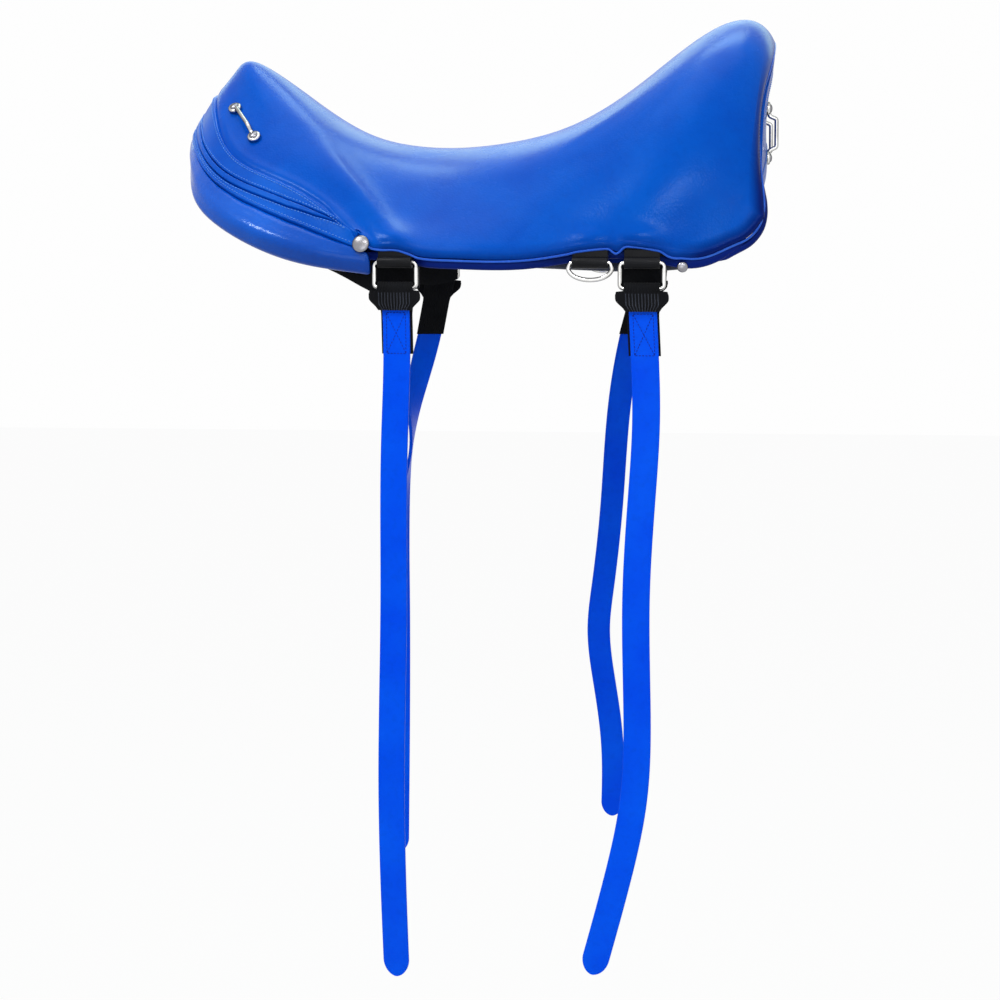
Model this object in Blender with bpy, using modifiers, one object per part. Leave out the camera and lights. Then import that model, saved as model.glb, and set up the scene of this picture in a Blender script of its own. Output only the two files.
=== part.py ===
"""Lightweight flapless riding saddle with its four girth straps hanging, modelled at its real size.

The frame is in metres: +X to the rear, +Y to the off side and +Z up. The origin lies on the roof of the channel
that clears the horse's spine. Heights in the tables below are measured from the lower edge of the skirt.
"""
import math

import bpy
import bmesh
import numpy as np
from mathutils import Matrix, Vector

MM = 0.001

# Main sizes. The seat's tables below are drawn for a saddle 502 mm long, 346 mm wide and 210 mm high, and the
# straps' for a longest one of 573 mm; all of them stretch with these sizes.
SEAT_LENGTH = 502 * MM
SEAT_WIDTH = 346 * MM
SEAT_HEIGHT = 210 * MM
STRAP_LENGTH = 573 * MM
ALONG = SEAT_LENGTH / 502
ASIDE = SEAT_WIDTH / 346
UPWARD = SEAT_HEIGHT / 210
HANGING = STRAP_LENGTH / 573
ARCH_HEIGHT = 72 * UPWARD

# Seat: each rib crosses the saddle from the crown on the mid-plane down one flank to its foot. Crown (x, height),
# then shoulder, flank, hip and foot (x, half width, height), and last the padding under the crown, all in mm.
RIBS = (
    ("gullet edge", (-248, 97), (-241, 66, 79), (-218, 116, 46), (-152, 148, 12), (-79, 157, 0), 8),
    ("panel crown", (-251, 107), (-240, 70, 88), (-210, 122, 54), (-150, 155, 26), (-79, 160, 8.5), 13),
    ("band foot", (-248.5, 118), (-235, 69, 97), (-203, 114, 68), (-147, 143, 43), (-81, 159, 18), 12),
    ("band head", (-229, 151), (-217, 63, 123), (-190, 101, 90), (-140, 126.5, 67), (-87, 154.5, 32.5), 10),
    ("pommel front", (-215, 171), (-198, 51, 141), (-171, 89, 108), (-125, 123, 74), (-79, 155, 29), 9),
    ("pommel top", (-197, 180), (-180, 49, 150), (-151, 85, 115), (-109, 121, 78), (-67, 157, 25), 9),
    ("pommel back", (-152, 153), (-140, 55, 134), (-118, 91, 105), (-86, 125, 69), (-52, 159, 25), 13),
    ("waist", (-95, 116.5), (-90, 61, 104), (-78, 99, 79), (-58, 131, 48), (-34, 161, 20), 18),
    ("dip", (-30, 103.5), (-27, 65, 92), (-22, 105, 69), (-14, 137, 42), (-4, 163, 18), 21),
    ("seat", (45, 112.5), (45, 71, 101), (45, 115, 76), (46, 145, 45), (48, 166, 18), 22),
    ("seat rise", (110, 140.5), (109, 79, 129), (106, 123, 98), (102, 153, 57), (98, 170, 25), 21),
    ("cantle slope", (168, 184), (166, 76, 167), (160, 124, 126), (151, 156, 73), (142, 173, 25), 17),
    ("cantle", (211, 210), (209, 68, 190), (202, 115, 146), (191, 151, 84), (181, 171, 19), 12),
    ("crest", (238, 208), (237, 63, 188), (231, 108, 145), (222, 145, 87), (212, 164, 30), 9),
    ("rim", (251, 193), (248, 59, 176), (239.5, 101, 138), (236.5, 137, 87), (237, 155, 51), 5),
)
RIB_SHARES = (0, 0.25, 0.5, 0.75, 1)
BAND_FOOT = 2
BAND_HEAD = 3
RIM = len(RIBS) - 1

# Roof of the channel and lower edge of the tree along the saddle: x, roof height, half width, edge height.
ARCH = (
    (-246, 101, 88, 72),
    (-215, 100, 116, 51),
    (-150, 93, 140, 25),
    (-70, 82, 149, 13),
    (0, 74.5, 153, 9),
    (100, 77, 161, 9),
    (180, 86, 162, 12),
    (215, 91, 152, 24),
    (240, 95, 142, 44),
)
ARCH_ROUND_FRONT = 45 * ASIDE
ARCH_ROUND_REAR = 62 * ASIDE

# Layers of the seat
COVER_THICKNESS = 2.0 * MM
SKIRT_PADDING = 6.0 * MM
GAP = 0.35 * MM
TREE_GAP = 0.6 * MM
SEAM_SHARE = 0.03
EDGE_ROLL_DROP = 6.0 * MM
EDGE_ROLL_OUT = 1.6 * MM
PANEL_ROLL = 4.0 * MM
TREE_SHARE = 0.92
TREE_FRONT = 1.2
TREE_REAR = 13.4
LINING_THICKNESS = 2.0 * MM
LINING_SET_BACK = 0.6
BAND_THICKNESS = 2.4 * MM
BAND_PROUD = 0.7 * MM

# Seams between the three bands, as rib numbers at shares down the flank, and the share where each band ends
BAND_SHARES = (0, 0.25, 0.5, 0.75, 0.85, 0.92, 0.97, 1)
LOWER_SEAM = (2.30, 2.25, 2.28, 2.37, 2.50, 2.70, 2.88, 2.94)
UPPER_SEAM = (2.46, 2.41, 2.50, 2.56, 2.66, 2.80, 2.90, 2.94)
BAND_ENDS = (0.985, 0.92, 0.97)

# Skirt rim below the piping, set back so that the rigging tabs pass between the two
LIP_INSET = 8.0 * MM
LIP_INSET_PLAIN = 3.5 * MM
LIP_TAB_RIBS = ((4.2, 6.7), (9.6, 11.4))
LIP_BLEND_RIBS = 0.6
LIP_WIDTH = 4.0 * MM
LIP_DROP = 9.0 * MM
LIP_TOP = 2.5 * MM
LIP_BEVEL = 3.0 * MM
SKIRT_RIBS = (5, 12.2)

# Piping
PIPING_RADIUS = 1.2 * MM
CANTLE_PIPING_RADIUS = 1.5 * MM
CANTLE_PIPING_SET_IN = 1.05 * MM

# Panel that closes the back of the cantle
CANTLE_PANEL_DROP = 6.1 * MM
CANTLE_PANEL_WAIST = 4.0 * MM
CANTLE_PANEL_FOOT = 6.0 * MM
CANTLE_PANEL_SHARE = 0.9

# Bearing panels against the horse: flat over the middle, rising to both ends
BEARING_SLOPE = 0.5 * UPWARD / ASIDE
BEARING_CROWN = -1.0 * MM
BEARING_FLAT = (-45 * ALONG, 75 * ALONG)
BEARING_RISE_FRONT = 0.54 * MM * UPWARD / ALONG ** 2
BEARING_RISE_REAR = 0.24 * MM * UPWARD / ALONG ** 2
PAD_X = (-198, -194, -185, -168, -120, -80, -45, -5, 35, 75, 115, 155, 190, 206, 214, 218)
PAD_CHANNEL = 33 * MM
PAD_EDGE = 15 * MM
PAD_ROLL = 5.0 * MM
PAD_CORNER = 30 * MM
PAD_CORNER_SHARE = 0.38
PAD_GAP = 1.6 * MM

# Rigging: a tab, a wire ring, a webbing loop and a strap at each of four places
FRONT_RING_X = -55 * ALONG
REAR_RING_X = 142 * ALONG
D_RING_X = 101 * ALONG
WIRE_RADIUS = 1.75 * MM
RING_INNER_WIDTH = 31 * MM
RING_DROP = 20 * MM
RING_CORNER = 3.2 * MM
TAB_WIDTH = 28 * MM
TAB_LEAF = 2.2 * MM
EYE_CLEARANCE = 0.35 * MM
TAB_CLEARANCE = 0.6 * MM
BAR_HEIGHT = 8.5 * UPWARD
D_RING_WIDTH = 36 * MM
D_RING_DROP = 13.5 * MM
D_RING_BAR_SHARE = 0.86
D_RING_FULLNESS = 0.7
D_RING_SHOULDER = 12

WEB_THICKNESS = 2.5 * MM
WEB_WIDTH = 28 * MM
WEB_TOP_WIDTH = 42 * MM
WEB_FRONT_LEAF = 15.5 * MM
WEB_BACK_LEAF = 53 * MM
WING_DROP = 2.2 * MM
WING_HEIGHT = 6.0 * MM
WING_CORNER = 1.0 * MM
WING_FOOT_INSET = 0.5 * MM
WING_PROUD = 0.2 * MM

STRAP_WIDTH = 22 * MM
STRAP_THICKNESS = 3.0 * MM
STRAP_START = 6.0 * MM
STRAP_TIP = 14 * MM

# How each strap hangs, in mm: how much its webbing leans to the rear for each mm of drop, then below the webbing
# the drop, the shift to the rear, the shift outwards and the twist in degrees. The last drop is the tip.
STRAP_PATHS = {
    "front_left": (0.02, (122, -1.4, 0, 0), (253, -2.7, 1, 2), (410, -5.5, 2, 0), (573, -2.5, 0, -4)),
    "rear_left": (0.055, (100, 4.4, 0, 0), (167, 1.4, 1, 3), (250, -2.2, 2, 0), (340, -0.5, 2, -3),
                  (412, -2.7, 2, -6), (480, -15.5, 2, -8), (561, -36, 0, -5)),
    "front_right": (-0.19, (117, -24.7, 0, 50), (156, -27.8, 1, 86), (214, -36, 2, 62), (313, -41, 2, 20),
                    (420, -42, 2, 5), (565, -44, 0, 0)),
    "rear_right": (-0.26, (117, -24.6, 0, 4), (214, -31.5, 1, 10), (300, -40, 3, 6), (340, -43.6, 3, -2),
                   (395, -37.5, 1, -8), (452, -29.8, 0, -4), (528, -29.2, 0, 0)),
}
STRAP_ROWS = 15

# Guards that hang from the lining behind the rings: places along the saddle and their lowest heights, in mm
GUARD_THICKNESS = 2.3 * MM
GUARD_GAP = 0.5 * MM
GUARDS = {
    "front": ((-117, 3.5), (-108, -0.5), (-99, -5), (-88, -11), (-76, -17), (-66, -18), (-56, -17), (-46, -15),
              (-38, -12)),
    "rear": ((122, -6), (127, -12), (134, -14), (142, -14), (150, -14), (157, -12), (162, -6)),
}

# Fittings
RIVET_HEAD_RADIUS = 7.0 * MM
RIVET_HEAD_HEIGHT = 2.6 * MM
FRONT_RIVET = (2.12, 0.985)
REAR_RIVET_X = 174 * ALONG
REAR_RIVET_HEAD_RADIUS = 4.3 * MM
REAR_RIVET_DROP = 8.0 * MM
SEAT_CLEARANCE = 0.5 * MM
FRONT_RIVET_CLEARANCE = 1.3 * MM
EYELET_RADIUS = 5.6 * MM
EYELET_HOLE = 2.4 * MM
EYELET_THICKNESS = 2.0 * MM
LOOP_WIRE_RADIUS = 1.75 * MM
LOOP_STANDOFF = 9.0 * MM
SCREW_SHANK_RADIUS = 2.0 * MM
SCREW_HEAD_RADIUS = 3.6 * MM
SCREW_HEAD_HEIGHT = 1.8 * MM
FRONT_LOOP_FEET = ((3.65, 0.25), (3.78, 0.45))
LOOP_LEG_RISE = 2.5 * MM
LOOP_BEND_REACH = 3.0 * MM
LOOP_LEG_LEAN = 0.4 * MM
REAR_LOOP_Y = 46 * ASIDE
REAR_LOOP_HEIGHTS = (93.5 * UPWARD, 134 * UPWARD)

# Samples across and along the surfaces
HALF_ACROSS = (0.1, 0.22, 0.34, 0.46, 0.58, 0.70, 0.82, TREE_SHARE, 1.0)
ACROSS = tuple(-s for s in reversed(HALF_ACROSS)) + (0.0,) + HALF_ACROSS
COVER_RIBS = (3, 3.5, 4, 4.5, 5, 5.5, 6, 6.5, 7, 7.6, 8.2, 8.8, 9.4, 10, 10.5, 11, 11.5, 12, 12.5, 13, TREE_REAR,
              RIM)


def spline(knots, values, at):
    """Natural cubic through the values at the knots, read at new places along the first axis."""
    knots = np.asarray(knots, float)
    values = np.asarray(values, float)
    at = np.atleast_1d(np.asarray(at, float))
    count = len(knots)
    span = np.diff(knots)
    system = np.zeros((count, count))
    system[0, 0] = system[-1, -1] = 1.0
    right = np.zeros(values.shape)
    for i in range(1, count - 1):
        system[i, i - 1:i + 2] = span[i - 1], 2 * (span[i - 1] + span[i]), span[i]
        right[i] = 6 * ((values[i + 1] - values[i]) / span[i] - (values[i] - values[i - 1]) / span[i - 1])
    bend = np.linalg.solve(system, right.reshape(count, -1)).reshape(values.shape)
    cell = np.clip(np.searchsorted(knots, at, side="right") - 1, 0, count - 2)
    shape = (-1,) + (1,) * (values.ndim - 1)
    after = (at - knots[cell]).reshape(shape)
    before = (knots[cell + 1] - at).reshape(shape)
    width = span[cell].reshape(shape)
    curved = (bend[cell] * before ** 3 + bend[cell + 1] * after ** 3) / (6 * width)
    straight = ((values[cell] / width - bend[cell] * width / 6) * before
                + (values[cell + 1] / width - bend[cell + 1] * width / 6) * after)
    return curved + straight


def smooth_step(x):
    x = np.clip(x, 0.0, 1.0)
    return x * x * (3 - 2 * x)


def rib_table():
    """The ribs as points: rib, place across from the near foot to the off foot, xyz."""
    table = []
    for name, crown, shoulder, flank, hip, foot, padding in RIBS:
        half = [(crown[0], 0.0, crown[1]), shoulder, flank, hip, foot]
        near = [(x, -y, z) for x, y, z in reversed(half[1:])]
        table.append(near + half)
    points = np.array(table, float) * (ALONG, ASIDE, UPWARD)
    points[..., 2] -= ARCH_HEIGHT
    return points


RIB_POINTS = rib_table()
RIB_PLACES = [-s for s in reversed(RIB_SHARES[1:])] + list(RIB_SHARES)


def outer(ribs, shares):
    """Points of the outer surface at fractional rib numbers and shares across, as (ribs, shares, xyz)."""
    along = spline(range(len(RIBS)), RIB_POINTS, ribs)
    return spline(RIB_PLACES, along.transpose(1, 0, 2), shares).transpose(1, 0, 2)


def outer_normals(ribs, shares):
    """Outward unit normals at the same places."""
    step = 0.01
    ribs = np.atleast_1d(np.asarray(ribs, float))
    shares = np.atleast_1d(np.asarray(shares, float))
    before = np.clip(ribs - step, 0, RIM)
    after = np.clip(ribs + step, 0, RIM)
    along = outer(after, shares) - outer(before, shares)
    across = outer(ribs, np.clip(shares + step, -1, 1)) - outer(ribs, np.clip(shares - step, -1, 1))
    normal = np.cross(along, across)
    return normal / np.linalg.norm(normal, axis=-1, keepdims=True)


def layer(ribs, shares, depth):
    """The outer surface moved inwards along its normals."""
    depth = np.asarray(depth, float)
    if depth.ndim:
        depth = depth[..., None]
    return outer(ribs, shares) - outer_normals(ribs, shares) * depth


def seam_line(ribs, shares, depth):
    """Points along a seam that has its own rib number at each share."""
    return np.array([layer([rib], [share], depth)[0, 0] for rib, share in zip(ribs, shares)])


def padding(ribs, shares):
    """Depth from the outer surface to the foot of the padding, thinner towards the skirt."""
    crown = np.interp(ribs, range(len(RIBS)), [rib[-1] * MM for rib in RIBS])[:, None]
    spread = (np.abs(np.asarray(shares)) ** 1.6)[None, :]
    return crown * (1 - spread) + np.minimum(SKIRT_PADDING, crown) * spread


def sideways(ribs, side):
    """Level outward direction of the skirt's edge at each rib, on one side."""
    ribs = np.clip(np.atleast_1d(np.asarray(ribs, float)), SKIRT_RIBS[0], SKIRT_RIBS[1])
    step = 0.05
    edge = outer(np.clip(ribs + step, 0, RIM), [side])[:, 0] - outer(np.clip(ribs - step, 0, RIM), [side])[:, 0]
    out = np.stack([-edge[:, 1], edge[:, 0], np.zeros(len(edge))], axis=1)
    out *= side * np.sign(edge[:, 0:1])
    return out / np.linalg.norm(out, axis=1, keepdims=True)


def rolled_edge(ribs, side, inset=0.0, drop=0.0):
    """The edge where the cover rolls under, moved inwards by the inset and down by the drop."""
    ribs = np.atleast_1d(np.asarray(ribs, float))
    rolled = smooth_step((ribs - BAND_HEAD) / 1.5)[:, None]
    foot = outer(ribs, [side])[:, 0]
    out = sideways(ribs, side)
    down = np.array([0.0, 0.0, -1.0]) * (EDGE_ROLL_DROP * np.maximum(rolled, 0.15) + drop)
    return foot + out * (EDGE_ROLL_OUT * rolled - inset) + down


def lip_inset(ribs):
    """How far the skirt's rim is set back: deeper where the rigging tabs pass in front of it."""
    ribs = np.asarray(ribs, float)
    deep = np.zeros_like(ribs)
    for first, last in LIP_TAB_RIBS:
        near = np.maximum(first - ribs, ribs - last)
        deep = np.maximum(deep, smooth_step(1 - near / LIP_BLEND_RIBS))
    return (LIP_INSET_PLAIN + (LIP_INSET - LIP_INSET_PLAIN) * deep)[:, None]


def arch(x, y):
    """Height of the tree's underside over the horse's back."""
    table = np.array(ARCH, float) * (ALONG, UPWARD, ASIDE, UPWARD)
    roof, half_width, edge = spline(table[:, 0], table[:, 1:], np.ravel(x)).T
    roof, half_width, edge = (a.reshape(np.shape(x)) for a in (roof, half_width, edge))
    share = np.clip((x - table[0, 0]) / (table[-1, 0] - table[0, 0]), 0, 1)
    rounding = ARCH_ROUND_FRONT + (ARCH_ROUND_REAR - ARCH_ROUND_FRONT) * share
    fall = (roof - edge) / (np.sqrt(1 + (half_width / rounding) ** 2) - 1)
    return roof - ARCH_HEIGHT - fall * (np.sqrt(1 + (y / rounding) ** 2) - 1)


def bearing(x, y):
    """Height of the face that lies on the horse: a plane each side, lifted towards both ends."""
    front = np.maximum(BEARING_FLAT[0] - x, 0.0)
    rear = np.maximum(x - BEARING_FLAT[1], 0.0)
    rise = BEARING_RISE_FRONT * front ** 2 + BEARING_RISE_REAR * rear ** 2
    return BEARING_CROWN - BEARING_SLOPE * np.abs(y) + rise


# Objects and materials

def start_scene():
    for thing in list(bpy.data.objects):
        bpy.data.objects.remove(thing, do_unlink=True)
    groups = {}
    for name in ("saddle", "cutters"):
        groups[name] = bpy.data.collections.new(name)
        bpy.context.scene.collection.children.link(groups[name])
    return groups


GROUPS = start_scene()


def material(name, colour, roughness, metallic=0.0):
    made = bpy.data.materials.new(name)
    made.use_nodes = True
    shader = made.node_tree.nodes["Principled BSDF"]
    shader.inputs["Base Color"].default_value = (*colour, 1.0)
    shader.inputs["Roughness"].default_value = roughness
    shader.inputs["Metallic"].default_value = metallic
    return made


SEAT_BLUE = material("seat_blue", (0.004, 0.095, 0.54), 0.34)
PANEL_BLUE = material("panel_blue", (0.006, 0.085, 0.48), 0.32)
TRIM_BLUE = material("trim_blue", (0.005, 0.08, 0.45), 0.36)
EDGE_BLUE = material("edge_blue", (0.003, 0.012, 0.11), 0.5)
PIPING_BLUE = material("piping_blue", (0.02, 0.10, 0.55), 0.35)
STRAP_BLUE = material("strap_blue", (0.0015, 0.075, 0.83), 0.4)
WEB_BLACK = material("web_black", (0.006, 0.008, 0.012), 0.85)
TAB_BLACK = material("tab_black", (0.004, 0.005, 0.008), 0.55)
STEEL = material("steel", (0.78, 0.78, 0.76), 0.22, 1.0)
TREE_GREY = material("tree_grey", (0.05, 0.05, 0.055), 0.6)
FOAM_GREY = material("foam_grey", (0.30, 0.32, 0.36), 0.9)
FELT = material("felt", (0.03, 0.04, 0.09), 0.95)


def add(name, mesh, finish, smooth_angle=40):
    """An object of the saddle from a mesh, faces out and shaded smooth."""
    work = bmesh.new()
    work.from_mesh(mesh)
    bmesh.ops.recalc_face_normals(work, faces=work.faces)
    work.to_mesh(mesh)
    work.free()
    mesh.materials.clear()
    mesh.materials.append(finish)
    mesh.shade_smooth()
    mesh.set_sharp_from_angle(angle=math.radians(smooth_angle))
    made = bpy.data.objects.new(name, mesh)
    GROUPS["saddle"].objects.link(made)
    return made


def shell(name, top, under, finish):
    """A closed solid between two sheets of points of the same size, joined round their four borders.

    Both sheets are cut along the same diagonals, mirrored about the middle column, so that neighbours fit.
    """
    rows, columns = top.shape[:2]
    vertices = np.concatenate([top.reshape(-1, 3), under.reshape(-1, 3)])
    second = rows * columns
    faces = []
    for r in range(rows - 1):
        for c in range(columns - 1):
            a, b = r * columns + c, r * columns + c + 1
            d, e = a + columns, b + columns
            halves = ((a, b, e), (a, e, d)) if 2 * c < columns - 1 else ((a, b, d), (b, e, d))
            faces += halves
            faces += [tuple(second + i for i in reversed(half)) for half in halves]
    border = [r * columns for r in range(rows)]
    border += [(rows - 1) * columns + c for c in range(1, columns)]
    border += [r * columns + columns - 1 for r in range(rows - 2, -1, -1)]
    border += [c for c in range(columns - 2, 0, -1)]
    for a, b in zip(border, border[1:] + border[:1]):
        faces.append((a, b, b + second, a + second))
    mesh = bpy.data.meshes.new(name)
    mesh.from_pydata([tuple(v) for v in vertices], [], faces)
    mesh.validate()
    return add(name, mesh, finish)


def curve_mesh(name, points, radius, closed=False, sides=1):
    """A round wire or piping along points, as a mesh with filled ends."""
    data = bpy.data.curves.new(name, "CURVE")
    data.dimensions = "3D"
    data.bevel_depth = radius
    data.bevel_resolution = sides
    data.use_fill_caps = True
    line = data.splines.new("POLY")
    line.points.add(len(points) - 1)
    for point, place in zip(line.points, points):
        point.co = (*place, 1.0)
    line.use_cyclic_u = closed
    return curve_to_mesh(data)


def outline_mesh(name, loops, thickness):
    """A flat outline with holes in local XY, extruded along local Z about its middle."""
    data = bpy.data.curves.new(name, "CURVE")
    data.dimensions = "2D"
    data.fill_mode = "BOTH"
    data.extrude = thickness / 2
    for loop in loops:
        line = data.splines.new("POLY")
        line.points.add(len(loop) - 1)
        for point, place in zip(line.points, loop):
            point.co = (place[0], place[1], 0.0, 1.0)
        line.use_cyclic_u = True
    return curve_to_mesh(data)


def curve_to_mesh(data):
    holder = bpy.data.objects.new(data.name, data)
    bpy.context.scene.collection.objects.link(holder)
    graph = bpy.context.evaluated_depsgraph_get()
    mesh = bpy.data.meshes.new_from_object(holder.evaluated_get(graph))
    mesh.name = data.name
    bpy.data.objects.remove(holder, do_unlink=True)
    work = bmesh.new()
    work.from_mesh(mesh)
    bmesh.ops.remove_doubles(work, verts=work.verts, dist=1e-6)
    work.to_mesh(mesh)
    work.free()
    return mesh


def turned(name, profile, finish, steps=12):
    """A solid of revolution about local Z from a profile that runs from top to bottom at +X."""
    mesh = bpy.data.meshes.new(name)
    mesh.from_pydata([(r, 0.0, z) for r, z in profile], [(i, i + 1) for i in range(len(profile) - 1)], [])
    made = bpy.data.objects.new(name, mesh)
    mesh.materials.append(finish)
    GROUPS["saddle"].objects.link(made)
    turn = made.modifiers.new("turn", "SCREW")
    turn.steps = steps
    turn.render_steps = steps
    turn.use_merge_vertices = True
    turn.merge_threshold = 0.00005
    turn.use_smooth_shade = True
    return made


def frame_matrix(place, out, up=(0, 0, 1)):
    """Local Y along out, Z as near up as it can be, X across, at a place."""
    out = Vector(out).normalized()
    across = out.cross(Vector(up)).normalized()
    up = across.cross(out).normalized()
    matrix = Matrix((across, out, up)).transposed().to_4x4()
    matrix.translation = Vector(place)
    return matrix


def normal_matrix(place, normal, towards):
    """Local Z along the normal, local X as near the given direction as it can be."""
    normal = Vector(normal).normalized()
    across = normal.cross(Vector(towards)).normalized()
    along = across.cross(normal).normalized()
    matrix = Matrix((along, across, normal)).transposed().to_4x4()
    matrix.translation = Vector(place)
    return matrix


# Seat, from the outside in

def with_edges(ribs, sheet, inset):
    """Adds the rolled edge of both sides to a sheet of the seat, at its own inset."""
    near = rolled_edge(ribs, -1, inset)[:, None]
    off = rolled_edge(ribs, 1, inset)[:, None]
    return np.concatenate([near, sheet, off], axis=1)


def seat_cover():
    ribs = np.array(COVER_RIBS, float)
    ribs[0] += SEAM_SHARE
    top = with_edges(ribs, layer(ribs, ACROSS, 0.0), 0.0)
    under = with_edges(ribs, layer(ribs, ACROSS, COVER_THICKNESS), COVER_THICKNESS)
    return shell("seat_cover", top, under, SEAT_BLUE)


def seat_foam():
    ribs = np.array((2, 2.5) + COVER_RIBS, float)
    ribs[0] += SEAM_SHARE
    skin = COVER_THICKNESS + GAP
    top = with_edges(ribs, layer(ribs, ACROSS, skin), skin)
    under = with_edges(ribs, layer(ribs, ACROSS, padding(ribs, ACROSS)), SKIRT_PADDING)
    return shell("seat_foam", top, under, FOAM_GREY)


def front_panel():
    ribs = np.array([0, 0.6, TREE_FRONT, 1.6, BAND_FOOT - SEAM_SHARE])
    depth = padding(ribs, ACROSS)
    top = layer(ribs, ACROSS, 0.0)
    under = layer(ribs, ACROSS, depth)
    middle = (top[0] + under[0]) / 2
    inwards = top[1] - top[0]
    inwards /= np.linalg.norm(inwards, axis=-1, keepdims=True)
    roll = middle - inwards * PANEL_ROLL
    top = np.concatenate([roll[None], top])
    under = np.concatenate([((middle + under[0]) / 2)[None], under])
    return shell("front_panel", top, under, PANEL_BLUE)


def trim_bands():
    foot = (BAND_FOOT,) * len(BAND_SHARES)
    head = (BAND_HEAD,) * len(BAND_SHARES)
    names = ("trim_band_lower", "trim_band_middle", "trim_band_upper")
    edges = ((foot, LOWER_SEAM), (LOWER_SEAM, UPPER_SEAM), (UPPER_SEAM, head))
    for name, (first, last), end in zip(names, edges, BAND_ENDS):
        shares = np.array([s for s in ACROSS if abs(s) < end - 0.02])
        shares = np.concatenate([[-end], shares, [end]])
        low = np.interp(np.abs(shares), BAND_SHARES, first) + SEAM_SHARE
        high = np.interp(np.abs(shares), BAND_SHARES, last) - SEAM_SHARE
        top = np.stack([seam_line(line, shares, -BAND_PROUD) for line in (low, high)])
        under = np.stack([seam_line(line, shares, BAND_THICKNESS - BAND_PROUD) for line in (low, high)])
        shell(name, top, under, TRIM_BLUE)


def tree_sheet():
    ribs = np.array((TREE_FRONT, 1.6, 2, 2.5) + COVER_RIBS[:-1], float)
    shares = np.array(ACROSS[1:-1])
    return ribs, shares, layer(ribs, shares, padding(ribs, shares) + TREE_GAP)


def tree():
    ribs, shares, top = tree_sheet()
    under = top.copy()
    under[..., 2] = arch(top[..., 0], top[..., 1])
    return shell("tree", top, under, TREE_GREY)


def underside_cover():
    """Lining under the tree with the dark rim of the skirt along both edges."""
    ribs, shares, sheet = tree_sheet()
    top = sheet.copy()
    top[0] += (top[1] - top[0]) * LINING_SET_BACK
    top[..., 2] = arch(top[..., 0], top[..., 1]) - GAP
    under = top.copy()
    under[..., 2] -= LINING_THICKNESS
    level = np.where(ribs < 5, rolled_edge(5, 1)[0, 2], rolled_edge(ribs, 1)[:, 2])

    def rim(side, inset, drop):
        line = rolled_edge(ribs, side, inset)
        line[:, 2] = level - drop
        return line[:, None]

    def with_rim(sheet_rows, inset, drop):
        return np.concatenate([rim(-1, inset, drop), sheet_rows, rim(1, inset, drop)], axis=1)

    face = lip_inset(ribs)
    inner = LIP_INSET + LIP_WIDTH
    top = with_rim(with_rim(top, inner, LIP_TOP + LIP_BEVEL), face, LIP_TOP)
    under = with_rim(with_rim(under, inner, LIP_DROP), face, LIP_DROP)
    return shell("underside_cover", top, under, EDGE_BLUE)


def pipings():
    ribs = np.array(COVER_RIBS[2:], float)
    for side, name in ((-1, "skirt_piping_left"), (1, "skirt_piping_right")):
        line = rolled_edge(ribs, side, PIPING_RADIUS, PIPING_RADIUS + GAP)
        add(name, curve_mesh(name, line, PIPING_RADIUS), PIPING_BLUE)
    shares = ACROSS[1:-1]
    beyond = outer([RIM], shares)[0] - outer([RIM - 0.05], shares)[0]
    beyond /= np.linalg.norm(beyond, axis=-1, keepdims=True)
    inwards = outer_normals([RIM], shares)[0]
    line = outer([RIM], shares)[0] + beyond * (CANTLE_PIPING_RADIUS + 2 * GAP) - inwards * CANTLE_PIPING_SET_IN
    add("cantle_piping", curve_mesh("cantle_piping", line, CANTLE_PIPING_RADIUS), PIPING_BLUE)


def cantle_sheets():
    """Rear and front faces of the plate that closes the back, from the rim's piping to the rear arch."""
    ribs, shares, sheet = tree_sheet()
    kept = np.abs(shares) <= CANTLE_PANEL_SHARE
    wall = sheet[-1]
    rim = outer([RIM], shares[kept])[0]
    foam = layer([RIM], shares[kept], padding([RIM], shares[kept]))[0]
    y = np.sign(shares[kept]) * np.minimum(np.abs(wall[kept, 1]), np.abs(foam[:, 1]) - 2 * GAP)
    wall_x = np.interp(y, wall[:, 1], wall[:, 0]) + GAP
    top_z = np.minimum(rim[:, 2] - CANTLE_PANEL_DROP, foam[:, 2] - 2 * GAP)
    foot_z = arch(wall_x, y) - LINING_THICKNESS
    tall = (top_z - foot_z) / (top_z - foot_z).max()
    face = []
    back = []
    for w in np.linspace(0, 1, 6):
        height = top_z + (foot_z - top_z) * w
        waist = CANTLE_PANEL_WAIST * math.sin(math.pi * w) * tall
        rear = rim[:, 0] + (wall_x + CANTLE_PANEL_FOOT - rim[:, 0]) * w - waist
        face.append(np.stack([rear, y, height], axis=1))
        back.append(np.stack([wall_x, y, height], axis=1))
    return np.array(face), np.array(back)


def cantle_panel():
    face, back = cantle_sheets()
    return shell("cantle_panel", face, back, SEAT_BLUE)


def cantle_face_point(y, z):
    """The place on the cantle panel's rear face at a half width and height."""
    face, back = cantle_sheets()
    column = np.array([[np.interp(y, row[:, 1], row[:, i]) for i in range(3)] for row in face])
    x = np.interp(-z, -column[:, 2], column[:, 0])
    return np.array([x, y, z])


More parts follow.
